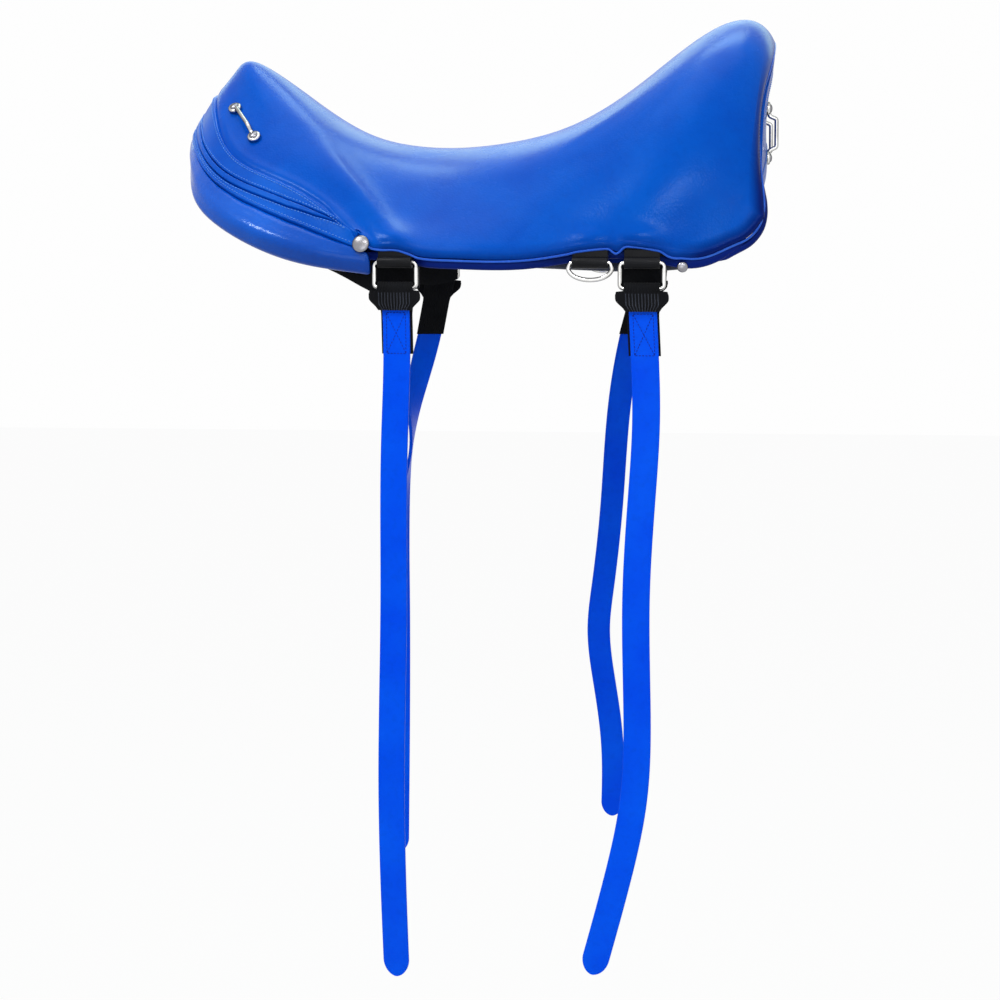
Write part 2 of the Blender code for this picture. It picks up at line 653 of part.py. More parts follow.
def bearing_panels():
    xs = np.array(PAD_X) * ALONG
    table = np.array(ARCH, float)
    half_width = spline(table[:, 0], table[:, 2], np.array(PAD_X)) * ASIDE
    across = np.array([0, 0.12, 0.5, 0.88, 1])
    width = half_width - PAD_EDGE - PAD_CHANNEL
    from_end = np.minimum(np.minimum(xs - xs[0], xs[-1] - xs), PAD_CORNER)
    corner = PAD_CORNER - np.sqrt(PAD_CORNER ** 2 - (PAD_CORNER - from_end) ** 2)
    corner = np.minimum(corner, PAD_CORNER_SHARE * width)[:, None]
    for side, name in ((-1, "panel_left"), (1, "panel_right")):
        y = PAD_CHANNEL + corner + (width[:, None] - 2 * corner) * across[None]
        x = np.repeat(xs[:, None], len(across), axis=1)
        top = np.stack([x, side * y, arch(x, y) - LINING_THICKNESS - PAD_GAP], axis=-1)
        under = np.stack([x, side * y, bearing(x, y)], axis=-1)
        rolled = np.zeros_like(x)
        rolled[:, 0] = rolled[:, -1] = rolled[0] = rolled[-1] = PAD_ROLL
        under[..., 2] += rolled
        shell(name, top, under, FELT)


# Rigging

def edge_place(x, side):
    """Where the rolled edge passes a place along the saddle, its level outward direction and its rib number."""
    ribs = np.linspace(BAND_HEAD + 1.2, RIM, 400)
    line = rolled_edge(ribs, side)
    rib = np.interp(x, line[:, 0], ribs)
    return rolled_edge([rib], side)[0], sideways([rib], side)[0], rib


def edge_level(x, side, width):
    """Lowest height of the rolled edge over a width about a place."""
    return min(edge_place(x + share * width, side)[0][2] for share in (-0.5, -0.25, 0, 0.25, 0.5))


def bar_frame(x, side):
    """Frame on the axis of the bar that a tab holds: X along the bar, Y outwards, Z up."""
    edge, out, rib = edge_place(x, side)
    eye = WIRE_RADIUS + EYE_CLEARANCE + TAB_LEAF
    place = edge - out * (LIP_INSET - TAB_CLEARANCE - eye)
    place[2] = BAR_HEIGHT - ARCH_HEIGHT
    return frame_matrix(place, out)


def arc(centre, radius, first, last, steps):
    angles = np.radians(np.linspace(first, last, steps + 1))
    return [(centre[0] + radius * math.cos(a), centre[1] + radius * math.sin(a)) for a in angles]


def circle(radius, steps=12):
    return arc((0, 0), radius, 0, 360, steps)[:-1]


def across_profile(name, loops, width):
    """An outline in out and up, extruded along the frame's X."""
    mesh = outline_mesh(name, loops, width)
    mesh.transform(Matrix(((0, 0, 1, 0), (1, 0, 0, 0), (0, 1, 0, 0), (0, 0, 0, 1))))
    return mesh


def tab(name, x, side):
    """A folded tab that comes from behind the piping and holds a wire bar in its eye."""
    frame = bar_frame(x, side)
    outside = WIRE_RADIUS + EYE_CLEARANCE + TAB_LEAF
    top = edge_level(x, side, TAB_WIDTH) - GAP - frame.translation.z
    neck_out = -outside + 2 * TAB_LEAF
    outline = [(-outside, top), *arc((0, 0), outside, -180, 90, 12)[:-1], (neck_out, outside), (neck_out, top)]
    eye = circle(WIRE_RADIUS + EYE_CLEARANCE)
    made = add(name, across_profile(name, [outline, eye], TAB_WIDTH), TAB_BLACK)
    made.matrix_world = frame
    return frame


def rectangle_ring(name, frame):
    """Rectangular wire ring that hangs from its top bar."""
    half = RING_INNER_WIDTH / 2 + WIRE_RADIUS
    line = []
    corners = ((half, 0, 0), (half, -RING_DROP, 270), (-half, -RING_DROP, 180), (-half, 0, 90))
    for x, z, first in corners:
        centre = (x - math.copysign(RING_CORNER, x), z + (RING_CORNER if z < 0 else -RING_CORNER))
        start = {0: 90, 270: 0, 180: 270, 90: 180}[first]
        line += arc(centre, RING_CORNER, start, start - 90, 3)
    made = add(name, curve_mesh(name, [(x, 0, z) for x, z in line], WIRE_RADIUS, closed=True), STEEL)
    made.matrix_world = frame
    return made


def d_ring(name, frame):
    """Wire ring with a straight top bar and a rounded bow below."""
    half = D_RING_WIDTH / 2
    turn = np.radians(np.linspace(D_RING_SHOULDER, 180 - D_RING_SHOULDER, 13))
    bow = [(half * math.cos(a), -D_RING_DROP * math.sin(a) ** D_RING_FULLNESS) for a in turn]
    line = [(-half * D_RING_BAR_SHARE, 0), (0, 0), (half * D_RING_BAR_SHARE, 0), *bow]
    made = add(name, curve_mesh(name, [(x, 0, z) for x, z in line], WIRE_RADIUS, closed=True), STEEL)
    made.matrix_world = frame
    return made


def hinge(name, parent, drop):
    """Empty on the axis of a ring's lower bar."""
    made = bpy.data.objects.new(name, None)
    made.empty_display_size = 10 * MM
    GROUPS["saddle"].objects.link(made)
    made.parent = parent
    made.location = (0, 0, -drop)
    return made


def webbing(name, parent, lean):
    """Webbing folded over a ring's lower bar, splayed in front, with a long leaf behind its strap."""
    inside = WIRE_RADIUS + EYE_CLEARANCE
    outside = inside + WEB_THICKNESS
    slot = STRAP_THICKNESS / 2 + GAP
    outline = [
        (slot + WEB_THICKNESS, -WEB_FRONT_LEAF),
        *arc((0, 0), outside, 0, 180, 8),
        (-slot - WEB_THICKNESS, -WEB_BACK_LEAF),
        (-slot, -WEB_BACK_LEAF),
        *arc((0, 0), inside, 180, 0, 8),
        (slot, -WEB_FRONT_LEAF),
    ]
    made = add(name, across_profile(name, [outline], WEB_WIDTH), WEB_BLACK)
    half_top = WEB_TOP_WIDTH / 2
    half_foot = WEB_WIDTH / 2 - WING_FOOT_INSET
    half_wing = half_top - WING_CORNER
    wing_foot = -WEB_FRONT_LEAF + WING_FOOT_INSET
    shoulder = -WING_DROP - WING_HEIGHT
    wing = [(-half_foot, wing_foot), (half_foot, wing_foot), (half_top, shoulder), (half_wing, -WING_DROP),
            (-half_wing, -WING_DROP), (-half_top, shoulder)]
    plate = outline_mesh(name + "_splay", [wing], WEB_THICKNESS + WING_PROUD)
    middle = slot + (WEB_THICKNESS + WING_PROUD) / 2 + WING_PROUD
    plate.transform(Matrix(((1, 0, 0, 0), (0, 0, -1, middle), (0, 1, 0, 0), (0, 0, 0, 1))))
    unite(made, [plate])
    for vertex in made.data.vertices:
        vertex.co.x += lean * min(vertex.co.z + inside, 0.0)
    made.parent = parent
    return made


def unite(made, meshes):
    """Joins further meshes to an object with Boolean unions and applies them."""
    for mesh in meshes:
        cutter = bpy.data.objects.new(mesh.name, mesh)
        cutter.hide_render = True
        cutter.display_type = "WIRE"
        GROUPS["cutters"].objects.link(cutter)
        join = made.modifiers.new("join", "BOOLEAN")
        join.operation = "UNION"
        join.solver = "EXACT"
        join.object = cutter
    graph = bpy.context.evaluated_depsgraph_get()
    joined = bpy.data.meshes.new_from_object(made.evaluated_get(graph))
    made.modifiers.clear()
    made.data = joined
    for mesh in meshes:
        bpy.data.objects.remove(bpy.data.objects[mesh.name], do_unlink=True)


def strap(name, parent, place, side):
    """A flat strap that follows its hanging line and ends in a rounded point."""
    lean, *path = STRAP_PATHS[place]
    ends = [(0, 0, 0, 0), (WEB_BACK_LEAF / MM, lean * WEB_BACK_LEAF / MM, 0, 0)]
    table = np.array(ends + path, float)
    table[len(ends):, 0] *= HANGING / MM
    last = table[-1, 0] * MM
    drops = list(np.linspace(STRAP_START, WEB_BACK_LEAF, 2))
    drops += list(np.linspace(WEB_BACK_LEAF, last - STRAP_TIP, STRAP_ROWS))[1:]
    widths = [STRAP_WIDTH] * len(drops)
    for share in (0.35, 0.65, 0.87, 1.0):
        drops.append(last - STRAP_TIP * (1 - share))
        widths.append(STRAP_WIDTH * max(math.sqrt(1 - share ** 1.8), 0.2))
    read = spline(table[:, 0], table[:, 1:], np.array(drops) / MM)
    centre = np.stack([side * read[:, 0] * MM, read[:, 1] * MM, -np.array(drops)], axis=1)
    along = np.gradient(centre, axis=0)
    along /= np.linalg.norm(along, axis=1, keepdims=True)
    twist = np.radians(read[:, 2])
    across = np.stack([np.cos(twist), np.sin(twist), np.zeros(len(twist))], axis=1)
    across -= along * (across * along).sum(axis=1, keepdims=True)
    across /= np.linalg.norm(across, axis=1, keepdims=True)
    thick = np.cross(along, across) * STRAP_THICKNESS / 2
    half = across * np.array(widths)[:, None] / 2
    top = np.stack([centre - half + thick, centre + half + thick], axis=1)
    under = np.stack([centre - half - thick, centre + half - thick], axis=1)
    made = shell(name, top, under, STRAP_BLUE)
    made.parent = parent
    return made


def web_guard(name, side, outline):
    """A guard just inside the skirt's rim and its line forwards, from the lining down to its own edge."""
    faces = ([], [])
    for x, lowest in outline:
        edge, out, rib = edge_place(x * ALONG, side)
        edge = edge + np.array([-out[1], out[0], 0]) * (edge[0] - x * ALONG) / out[1]
        shares = np.array([side * TREE_SHARE])
        lining = layer([rib], shares, padding([rib], shares) + TREE_GAP)[0, 0]
        inset = max(LIP_INSET + LIP_WIDTH, (edge - lining) @ out) + GUARD_GAP
        for face, depth in zip(faces, (inset, inset + GUARD_THICKNESS)):
            place = edge - out * depth
            ceiling = arch(place[0], place[1]) - GAP - LINING_THICKNESS - GUARD_GAP
            foot = lowest * UPWARD - ARCH_HEIGHT
            face.append([(place[0], place[1], z) for z in (ceiling, (ceiling + foot) / 2, foot)])
    shell(name, np.array(faces[0]), np.array(faces[1]), WEB_BLACK)


def rigging():
    for end, x in (("front", FRONT_RING_X), ("rear", REAR_RING_X)):
        for side, hand in ((-1, "left"), (1, "right")):
            place = f"{end}_{hand}"
            frame = tab(f"rigging_tab_{place}", x, side)
            ring = rectangle_ring(f"rigging_ring_{place}", frame)
            lower_bar = hinge(f"strap_hinge_{place}", ring, RING_DROP)
            webbing(f"webbing_{place}", lower_bar, -side * STRAP_PATHS[place][0])
            strap(f"strap_{place}", lower_bar, place, side)
            web_guard(f"web_guard_{place}", side, GUARDS[end])
    for side, hand in ((-1, "left"), (1, "right")):
        frame = tab(f"d_ring_tab_{hand}", D_RING_X, side)
        d_ring(f"d_ring_{hand}", frame)


# Fittings

def rivet(name, matrix, radius):
    height = RIVET_HEAD_HEIGHT
    profile = [(0, height), (0.4 * radius, 0.94 * height), (0.74 * radius, 0.7 * height),
               (0.96 * radius, 0.32 * height), (radius, 0), (0, 0)]
    made = turned(name, profile, STEEL)
    made.matrix_world = matrix


def screw(name, matrix):
    seat = EYELET_THICKNESS + GAP
    profile = [(0, seat + SCREW_HEAD_HEIGHT), (0.6 * SCREW_HEAD_RADIUS, seat + 0.85 * SCREW_HEAD_HEIGHT),
               (SCREW_HEAD_RADIUS, seat + 0.3 * SCREW_HEAD_HEIGHT), (SCREW_HEAD_RADIUS, seat),
               (SCREW_SHANK_RADIUS, seat), (SCREW_SHANK_RADIUS, 0), (0, 0)]
    made = turned(name, profile, STEEL, steps=10)
    made.matrix_world = matrix


def footman_loop(name, first, second, normal_first, normal_second):
    """A wire bar held off the leather by two eyelets, each screwed down."""
    first = Vector(first) + Vector(normal_first) * SEAT_CLEARANCE
    second = Vector(second) + Vector(normal_second) * SEAT_CLEARANCE
    towards = (second - first).normalized()
    mid_normal = (Vector(normal_first) + Vector(normal_second)).normalized()
    matrices = [normal_matrix(first, normal_first, towards), normal_matrix(second, normal_second, towards)]
    eyelets = []
    for matrix in matrices:
        mesh = outline_mesh(name + "_eyelet", [circle(EYELET_RADIUS), circle(EYELET_HOLE)], EYELET_THICKNESS)
        mesh.transform(Matrix.Translation((0, 0, EYELET_THICKNESS / 2)))
        mesh.transform(matrix)
        eyelets.append(mesh)
    near = SCREW_HEAD_RADIUS + GAP + LOOP_WIRE_RADIUS
    rise = LOOP_STANDOFF - LOOP_WIRE_RADIUS
    foot = EYELET_THICKNESS / 2
    first_foot = first + towards * near + Vector(normal_first) * foot
    second_foot = second - towards * near + Vector(normal_second) * foot
    leg = rise - LOOP_LEG_RISE
    bend = near + LOOP_BEND_REACH
    line = [first_foot, first_foot + Vector(normal_first) * leg + towards * LOOP_LEG_LEAN,
            first + towards * bend + mid_normal * rise,
            second - towards * bend + mid_normal * rise,
            second_foot + Vector(normal_second) * leg - towards * LOOP_LEG_LEAN, second_foot]
    made = add(name, curve_mesh(name, line, LOOP_WIRE_RADIUS), STEEL)
    unite(made, eyelets)
    for number, matrix in enumerate(matrices, 1):
        screw(f"{name}_screw_{number}", matrix)


def surface_place(rib, share):
    return outer([rib], [share])[0, 0], outer_normals([rib], [share])[0, 0]


def fittings():
    for side, hand in ((-1, "left"), (1, "right")):
        place, normal = surface_place(FRONT_RIVET[0], side * FRONT_RIVET[1])
        seated = place + normal * (BAND_PROUD + FRONT_RIVET_CLEARANCE)
        rivet(f"front_rivet_{hand}", normal_matrix(seated, normal, (0, 0, 1)), RIVET_HEAD_RADIUS)
        edge, out, rib = edge_place(REAR_RIVET_X, side)
        seated = edge - out * (lip_inset([rib])[0, 0] - SEAT_CLEARANCE)
        seated[2] -= REAR_RIVET_DROP
        rivet(f"rear_rivet_{hand}", normal_matrix(seated, out, (0, 0, 1)), REAR_RIVET_HEAD_RADIUS)
        feet = [surface_place(rib, side * share) for rib, share in FRONT_LOOP_FEET]
        footman_loop(f"front_loop_{hand}", feet[0][0], feet[1][0], feet[0][1], feet[1][1])
        low, high = (cantle_face_point(side * REAR_LOOP_Y, h - ARCH_HEIGHT) for h in REAR_LOOP_HEIGHTS)
        normal = np.cross(high - low, (0, -1, 0))
        normal /= np.linalg.norm(normal)
        footman_loop(f"rear_loop_{hand}", low, high, normal, normal)


seat_cover()
seat_foam()
front_panel()
trim_bands()
tree()
underside_cover()
pipings()
cantle_panel()
bearing_panels()
rigging()
fittings()
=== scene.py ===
"""Looks of a flapless riding saddle in blue leather, with steel rings, black webbing and girth straps.

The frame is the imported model's: metres, +X to the rear, +Y to the off side, +Z up. Heights in the tables are
measured from the lower edge of the skirt, in mm.
"""
import math

import bpy
import bmesh
import numpy as np
from mathutils import Matrix, Vector


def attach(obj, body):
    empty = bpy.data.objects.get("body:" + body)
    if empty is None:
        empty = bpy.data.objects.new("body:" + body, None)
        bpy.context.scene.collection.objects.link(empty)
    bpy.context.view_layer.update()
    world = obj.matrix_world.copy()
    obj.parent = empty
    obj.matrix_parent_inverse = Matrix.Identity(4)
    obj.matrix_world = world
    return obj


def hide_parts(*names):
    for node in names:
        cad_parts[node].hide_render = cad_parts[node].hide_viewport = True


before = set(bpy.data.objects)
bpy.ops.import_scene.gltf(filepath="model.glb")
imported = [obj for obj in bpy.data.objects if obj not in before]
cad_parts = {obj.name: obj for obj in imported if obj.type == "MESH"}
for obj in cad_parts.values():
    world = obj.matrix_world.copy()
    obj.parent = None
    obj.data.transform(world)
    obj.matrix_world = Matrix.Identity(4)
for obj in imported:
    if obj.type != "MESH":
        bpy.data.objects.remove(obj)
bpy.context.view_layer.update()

MM = 0.001
BOTH = ((-1, "left"), (1, "right"))

# ---------------------------------------------------------------- form of the seat, as in the solids

ARCH_HEIGHT = 72 * MM
RIBS = (
    ("gullet edge", (-248, 97), (-241, 66, 79), (-218, 116, 46), (-152, 148, 12), (-79, 157, 0), 8),
    ("panel crown", (-251, 107), (-240, 70, 88), (-210, 122, 54), (-150, 155, 26), (-79, 160, 8.5), 13),
    ("band foot", (-248.5, 118), (-235, 69, 97), (-203, 114, 68), (-147, 143, 43), (-81, 159, 18), 12),
    ("band head", (-229, 151), (-217, 63, 123), (-190, 101, 90), (-140, 126.5, 67), (-87, 154.5, 32.5), 10),
    ("pommel front", (-215, 171), (-198, 51, 141), (-171, 89, 108), (-125, 123, 74), (-79, 155, 29), 9),
    ("pommel top", (-197, 180), (-180, 49, 150), (-151, 85, 115), (-109, 121, 78), (-67, 157, 25), 9),
    ("pommel back", (-152, 153), (-140, 55, 134), (-118, 91, 105), (-86, 125, 69), (-52, 159, 25), 13),
    ("waist", (-95, 116.5), (-90, 61, 104), (-78, 99, 79), (-58, 131, 48), (-34, 161, 20), 18),
    ("dip", (-30, 103.5), (-27, 65, 92), (-22, 105, 69), (-14, 137, 42), (-4, 163, 18), 21),
    ("seat", (45, 112.5), (45, 71, 101), (45, 115, 76), (46, 145, 45), (48, 166, 18), 22),
    ("seat rise", (110, 140.5), (109, 79, 129), (106, 123, 98), (102, 153, 57), (98, 170, 25), 21),
    ("cantle slope", (168, 184), (166, 76, 167), (160, 124, 126), (151, 156, 73), (142, 173, 25), 17),
    ("cantle", (211, 210), (209, 68, 190), (202, 115, 146), (191, 151, 84), (181, 171, 19), 12),
    ("crest", (238, 208), (237, 63, 188), (231, 108, 145), (222, 145, 87), (212, 164, 30), 9),
    ("rim", (251, 193), (248, 59, 176), (239.5, 101, 138), (236.5, 137, 87), (237, 155, 51), 5),
)
RIB_PLACES = (-1, -0.75, -0.5, -0.25, 0, 0.25, 0.5, 0.75, 1)
BAND_FOOT = 2
BAND_HEAD = 3
RIM = len(RIBS) - 1
ARCH = (
    (-246, 101, 88, 72), (-215, 100, 116, 51), (-150, 93, 140, 25), (-70, 82, 149, 13), (0, 74.5, 153, 9),
    (100, 77, 161, 9), (180, 86, 162, 12), (215, 91, 152, 24), (240, 95, 142, 44),
)
ARCH_ROUND = (45 * MM, 62 * MM)
SKIRT_PADDING = 6.0 * MM
EDGE_ROLL_DROP = 6.0 * MM
EDGE_ROLL_OUT = 1.6 * MM
TREE_SHARE = 0.92
TREE_FRONT = 1.2
TREE_REAR = 13.4
TREE_GAP = 0.6 * MM
LINING_THICKNESS = 2.0 * MM
LIP_INSET = 8.0 * MM
LIP_INSET_PLAIN = 3.5 * MM
LIP_TAB_RIBS = ((4.2, 6.7), (9.6, 11.4))
LIP_BLEND_RIBS = 0.6
LIP_WIDTH = 4.0 * MM
LIP_DROP = 9.0 * MM
LIP_TOP = 2.5 * MM
SKIRT_RIBS = (5, 12.2)
PIPING_RADIUS = 1.2 * MM
CANTLE_PANEL_DROP = 5.6 * MM
CANTLE_SHARE = 0.9
PAD_CORNER = 30 * MM
PAD_CORNER_SHARE = 0.38
PAD_CHANNEL = 33 * MM
BEARING = dict(slope=0.5, crown=-1 * MM, flat=(-45 * MM, 75 * MM), front=0.54, rear=0.24)

BAND_SHARES = (0, 0.25, 0.5, 0.75, 0.85, 0.92, 0.97, 1)
LOWER_SEAM = (2.30, 2.25, 2.28, 2.37, 2.50, 2.70, 2.88, 2.94)
UPPER_SEAM = (2.46, 2.41, 2.50, 2.56, 2.66, 2.80, 2.90, 2.94)

# Rigging
RING_X = {"front": -55 * MM, "rear": 142 * MM}
D_RING_X = 101 * MM
WIRE_RADIUS = 1.75 * MM
RING_INNER_WIDTH = 31 * MM
RING_DROP = 20 * MM
RING_CORNER = 3.2 * MM
TAB_WIDTH = 28 * MM
TAB_LEAF = 2.2 * MM
EYE_CLEARANCE = 0.35 * MM
EYE = WIRE_RADIUS + EYE_CLEARANCE
TAB_CLEARANCE = 0.6 * MM
BAR_HEIGHT = 8.5 * MM
D_RING_WIDTH = 36 * MM
D_RING_DROP = 13.5 * MM
WEB_THICKNESS = 2.5 * MM
WEB_WIDTH = 28 * MM
WEB_TOP_WIDTH = 42 * MM
WEB_FRONT_LEAF = 15.5 * MM
WEB_FRONT_EXTRA = 2.5 * MM
WEB_BACK_LEAF = 53 * MM
STRAP_WIDTH = 22 * MM
STRAP_THICKNESS = 3.0 * MM
STRAP_START = 6.0 * MM
STRAP_TIP = 14 * MM
STRAP_PATHS = {
    "front_left": (0.02, (122, -1.4, 0, 0), (253, -2.7, 1, 2), (410, -5.5, 2, 0), (573, -2.5, 0, -4)),
    "rear_left": (0.055, (100, 4.4, 0, 0), (167, 1.4, 1, 3), (250, -2.2, 2, 0), (340, -0.5, 2, -3),
                  (412, -2.7, 2, -6), (480, -15.5, 2, -8), (561, -36, 0, -5)),
    "front_right": (-0.19, (117, -24.7, 0, 50), (156, -27.8, 1, 86), (214, -36, 2, 62), (313, -41, 2, 20),
                    (420, -42, 2, 5), (565, -44, 0, 0)),
    "rear_right": (-0.26, (117, -24.6, 0, 4), (214, -31.5, 1, 10), (300, -40, 3, 6), (340, -43.6, 3, -2),
                   (395, -37.5, 1, -8), (452, -29.8, 0, -4), (528, -29.2, 0, 0)),
}
GUARDS = {
    "front": ((-117, 3.5), (-108, -0.5), (-99, -5), (-88, -11), (-76, -17), (-66, -18), (-56, -17),
              (-46, -15), (-38, -12)),
    "rear": ((122, -6), (127, -12), (134, -14), (142, -14), (150, -14), (157, -12), (162, -6)),
}

# Only in the looks: fuller rear corners, an edge that turns in, and an edge drawn up over the tabs
CORNER = (226 * MM, -41 * MM)
CORNER_SPREAD = 10 * MM
CORNER_PUSH = 4.0 * MM
ROLL_WIDTH = 14 * MM
ROLL_FULL = 4.8 * MM
PIPING_FOLLOWS = 0.86
TAB_LIFTS = ((-55 * MM, 16 * MM, 0.8 * MM), (101 * MM, 15 * MM, 0.6 * MM), (143 * MM, 16 * MM, 2.4 * MM),
             (121.5 * MM, 3.2 * MM, -3.4 * MM), (167 * MM, 4 * MM, -0.8 * MM))
FRONT_RIVET = (2.12, 0.985)
FRONT_RIVET_SHIFT = (4.2 * MM, 0, 1.0 * MM)
REAR_RIVET_X = 174 * MM
FRONT_LOOP_FEET = ((3.65, 0.25), (3.78, 0.45))
REAR_LOOP_Y = 46 * MM
REAR_LOOP_HEIGHTS = (93.5 * MM, 134 * MM)


def unit(vectors):
    """Vectors of length one, along the last axis."""
    return vectors / np.maximum(np.linalg.norm(vectors, axis=-1, keepdims=True), 1e-12)


def spline(knots, values, at):
    """Natural cubic through the values at the knots, read at new places along the first axis."""
    knots = np.asarray(knots, float)
    values = np.asarray(values, float)
    at = np.atleast_1d(np.asarray(at, float))
    count = len(knots)
    span = np.diff(knots)
    system = np.zeros((count, count))
    system[0, 0] = system[-1, -1] = 1.0
    right = np.zeros(values.shape)
    for i in range(1, count - 1):
        system[i, i - 1:i + 2] = span[i - 1], 2 * (span[i - 1] + span[i]), span[i]
        right[i] = 6 * ((values[i + 1] - values[i]) / span[i] - (values[i] - values[i - 1]) / span[i - 1])
    bend = np.linalg.solve(system, right.reshape(count, -1)).reshape(values.shape)
    cell = np.clip(np.searchsorted(knots, at, side="right") - 1, 0, count - 2)
    shape = (-1,) + (1,) * (values.ndim - 1)
    after = (at - knots[cell]).reshape(shape)
    before = (knots[cell + 1] - at).reshape(shape)
    width = span[cell].reshape(shape)
    curved = (bend[cell] * before ** 3 + bend[cell + 1] * after ** 3) / (6 * width)
    straight = ((values[cell] / width - bend[cell] * width / 6) * before
                + (values[cell + 1] / width - bend[cell + 1] * width / 6) * after)
    return curved + straight


def smooth_step(x):
    x = np.clip(x, 0.0, 1.0)
    return x * x * (3 - 2 * x)


def rib_table():
    table = []
    for name, crown, shoulder, flank, hip, foot, padding_depth in RIBS:
        half = [(crown[0], 0.0, crown[1]), shoulder, flank, hip, foot]
        table.append([(x, -y, z) for x, y, z in reversed(half[1:])] + half)
    points = np.array(table, float) * MM
    points[..., 2] -= ARCH_HEIGHT
    return points


RIB_POINTS = rib_table()


def outer(ribs, shares):
    """Points of the outer surface, by rib number from front to rear and by share from foot to foot."""
    along = spline(range(len(RIBS)), RIB_POINTS, ribs)
    return spline(RIB_PLACES, along.transpose(1, 0, 2), shares).transpose(1, 0, 2)


def outer_normals(ribs, shares):
    step = 0.01
    ribs, shares = (np.atleast_1d(np.asarray(values, float)) for values in (ribs, shares))
    along = outer(np.clip(ribs + step, 0, RIM), shares) - outer(np.clip(ribs - step, 0, RIM), shares)
    across = outer(ribs, np.clip(shares + step, -1, 1)) - outer(ribs, np.clip(shares - step, -1, 1))
    return unit(np.cross(along, across))


def layer(ribs, shares, depth):
    depth = np.asarray(depth, float)
    if depth.ndim:
        depth = depth[..., None]
    return outer(ribs, shares) - outer_normals(ribs, shares) * depth


def padding(ribs, shares):
    crown = np.interp(ribs, range(len(RIBS)), [rib[-1] * MM for rib in RIBS])[:, None]
    spread = (np.abs(np.asarray(shares)) ** 1.6)[None, :]
    return crown * (1 - spread) + np.minimum(SKIRT_PADDING, crown) * spread


def sideways(ribs, side):
    """Level directions out of the skirt's edge."""
    ribs = np.clip(np.atleast_1d(np.asarray(ribs, float)), *SKIRT_RIBS)
    edge = (outer(np.clip(ribs + 0.05, 0, RIM), [side]) - outer(np.clip(ribs - 0.05, 0, RIM), [side]))[:, 0]
    out = np.stack([-edge[:, 1], edge[:, 0], np.zeros(len(edge))], axis=1)
    return unit(out * side * np.sign(edge[:, 0:1]))


def rolled_edge(ribs, side, inset=0.0, drop=0.0):
    ribs = np.atleast_1d(np.asarray(ribs, float))
    rolled = smooth_step((ribs - BAND_HEAD) / 1.5)[:, None]
    down = np.array([0.0, 0.0, -1.0])
    return (outer(ribs, [side])[:, 0] + sideways(ribs, side) * (EDGE_ROLL_OUT * rolled - inset)
            + down * (EDGE_ROLL_DROP * np.maximum(rolled, 0.15) + drop))


def tab_lift(x):
    """The cover's edge is drawn up over each tab and sags between them."""
    lift = np.zeros_like(x)
    for centre, half, height in TAB_LIFTS:
        lift += height * smooth_step((half + 3.5 * MM - np.abs(x - centre)) / (7 * MM))
    return lift


def corner_bulge(points):
    """The skirt's rear corner is fuller than its ribs say."""
    away = ((points[..., 0] - CORNER[0]) ** 2 + (points[..., 2] - CORNER[1]) ** 2) / (2 * CORNER_SPREAD ** 2)
    push = CORNER_PUSH * np.exp(-away) * smooth_step((np.abs(points[..., 1]) - 100 * MM) / (30 * MM))
    return points + push[..., None] * np.array([0.6, 0.0, -0.8])


def roll_depth(points):
    """How far the cover's edge turns in round the rear: most at the corners, less over the cantle's top."""
    skirt = smooth_step((points[..., 0] + 78 * MM) / (16 * MM)) * 2.4
    rear = smooth_step((points[..., 0] - 168 * MM) / (28 * MM))
    low = smooth_step((np.abs(points[..., 1]) - 60 * MM) / (60 * MM))
    return (skirt * (1 - rear) + rear * (1.2 + 3.6 * low)) * MM


def lip_inset(ribs):
    ribs = np.asarray(ribs, float)
    deep = np.zeros_like(ribs)
    for first, last in LIP_TAB_RIBS:
        near = np.maximum(first - ribs, ribs - last)
        deep = np.maximum(deep, smooth_step(1 - near / LIP_BLEND_RIBS))
    return (LIP_INSET_PLAIN + (LIP_INSET - LIP_INSET_PLAIN) * deep)[:, None]


def arch(x, y):
    """Height of the channel's roof."""
    table = np.array(ARCH, float) * MM
    read = spline(table[:, 0], table[:, 1:], np.ravel(x)).T
    roof, half_width, edge = (a.reshape(np.shape(x)) for a in read)
    share = np.clip((x - table[0, 0]) / (table[-1, 0] - table[0, 0]), 0, 1)
    rounding = ARCH_ROUND[0] + (ARCH_ROUND[1] - ARCH_ROUND[0]) * share
    fall = (roof - edge) / (np.sqrt(1 + (half_width / rounding) ** 2) - 1)
    return roof - ARCH_HEIGHT - fall * (np.sqrt(1 + (y / rounding) ** 2) - 1)


def bearing(x, y):
    """Height of the surface that lies on the horse's back."""
    front = np.maximum(BEARING["flat"][0] - x, 0.0)
    rear = np.maximum(x - BEARING["flat"][1], 0.0)
    return (BEARING["crown"] - BEARING["slope"] * np.abs(y)
            + BEARING["front"] * front ** 2 + BEARING["rear"] * rear ** 2)


def edge_place(x, side):
    """Point of the skirt's edge at a place along the saddle, the direction out, and its rib number."""
    ribs = np.linspace(BAND_HEAD + 1.2, RIM, 400)
    line = rolled_edge(ribs, side)
    rib = np.interp(x, line[:, 0], ribs)
    return rolled_edge([rib], side)[0], sideways([rib], side)[0], rib


def axes_matrix(place, *axes):
    matrix = Matrix(axes).transposed().to_4x4()
    matrix.translation = Vector(place)
    return matrix


def normal_matrix(place, normal, towards):
    normal = Vector(normal).normalized()
    across = normal.cross(Vector(towards)).normalized()
    return axes_matrix(place, across.cross(normal).normalized(), across, normal)


def bar_frame(x, side):
    """Frame of a ring's upper bar: x along the bar, y out, z up."""
    edge, out, rib = edge_place(x, side)
    place = edge - out * (LIP_INSET - TAB_CLEARANCE - (EYE + TAB_LEAF))
    place[2] = BAR_HEIGHT - ARCH_HEIGHT
    out = Vector(out).normalized()
    across = out.cross(Vector((0, 0, 1))).normalized()
    return axes_matrix(place, across, out, across.cross(out).normalized())


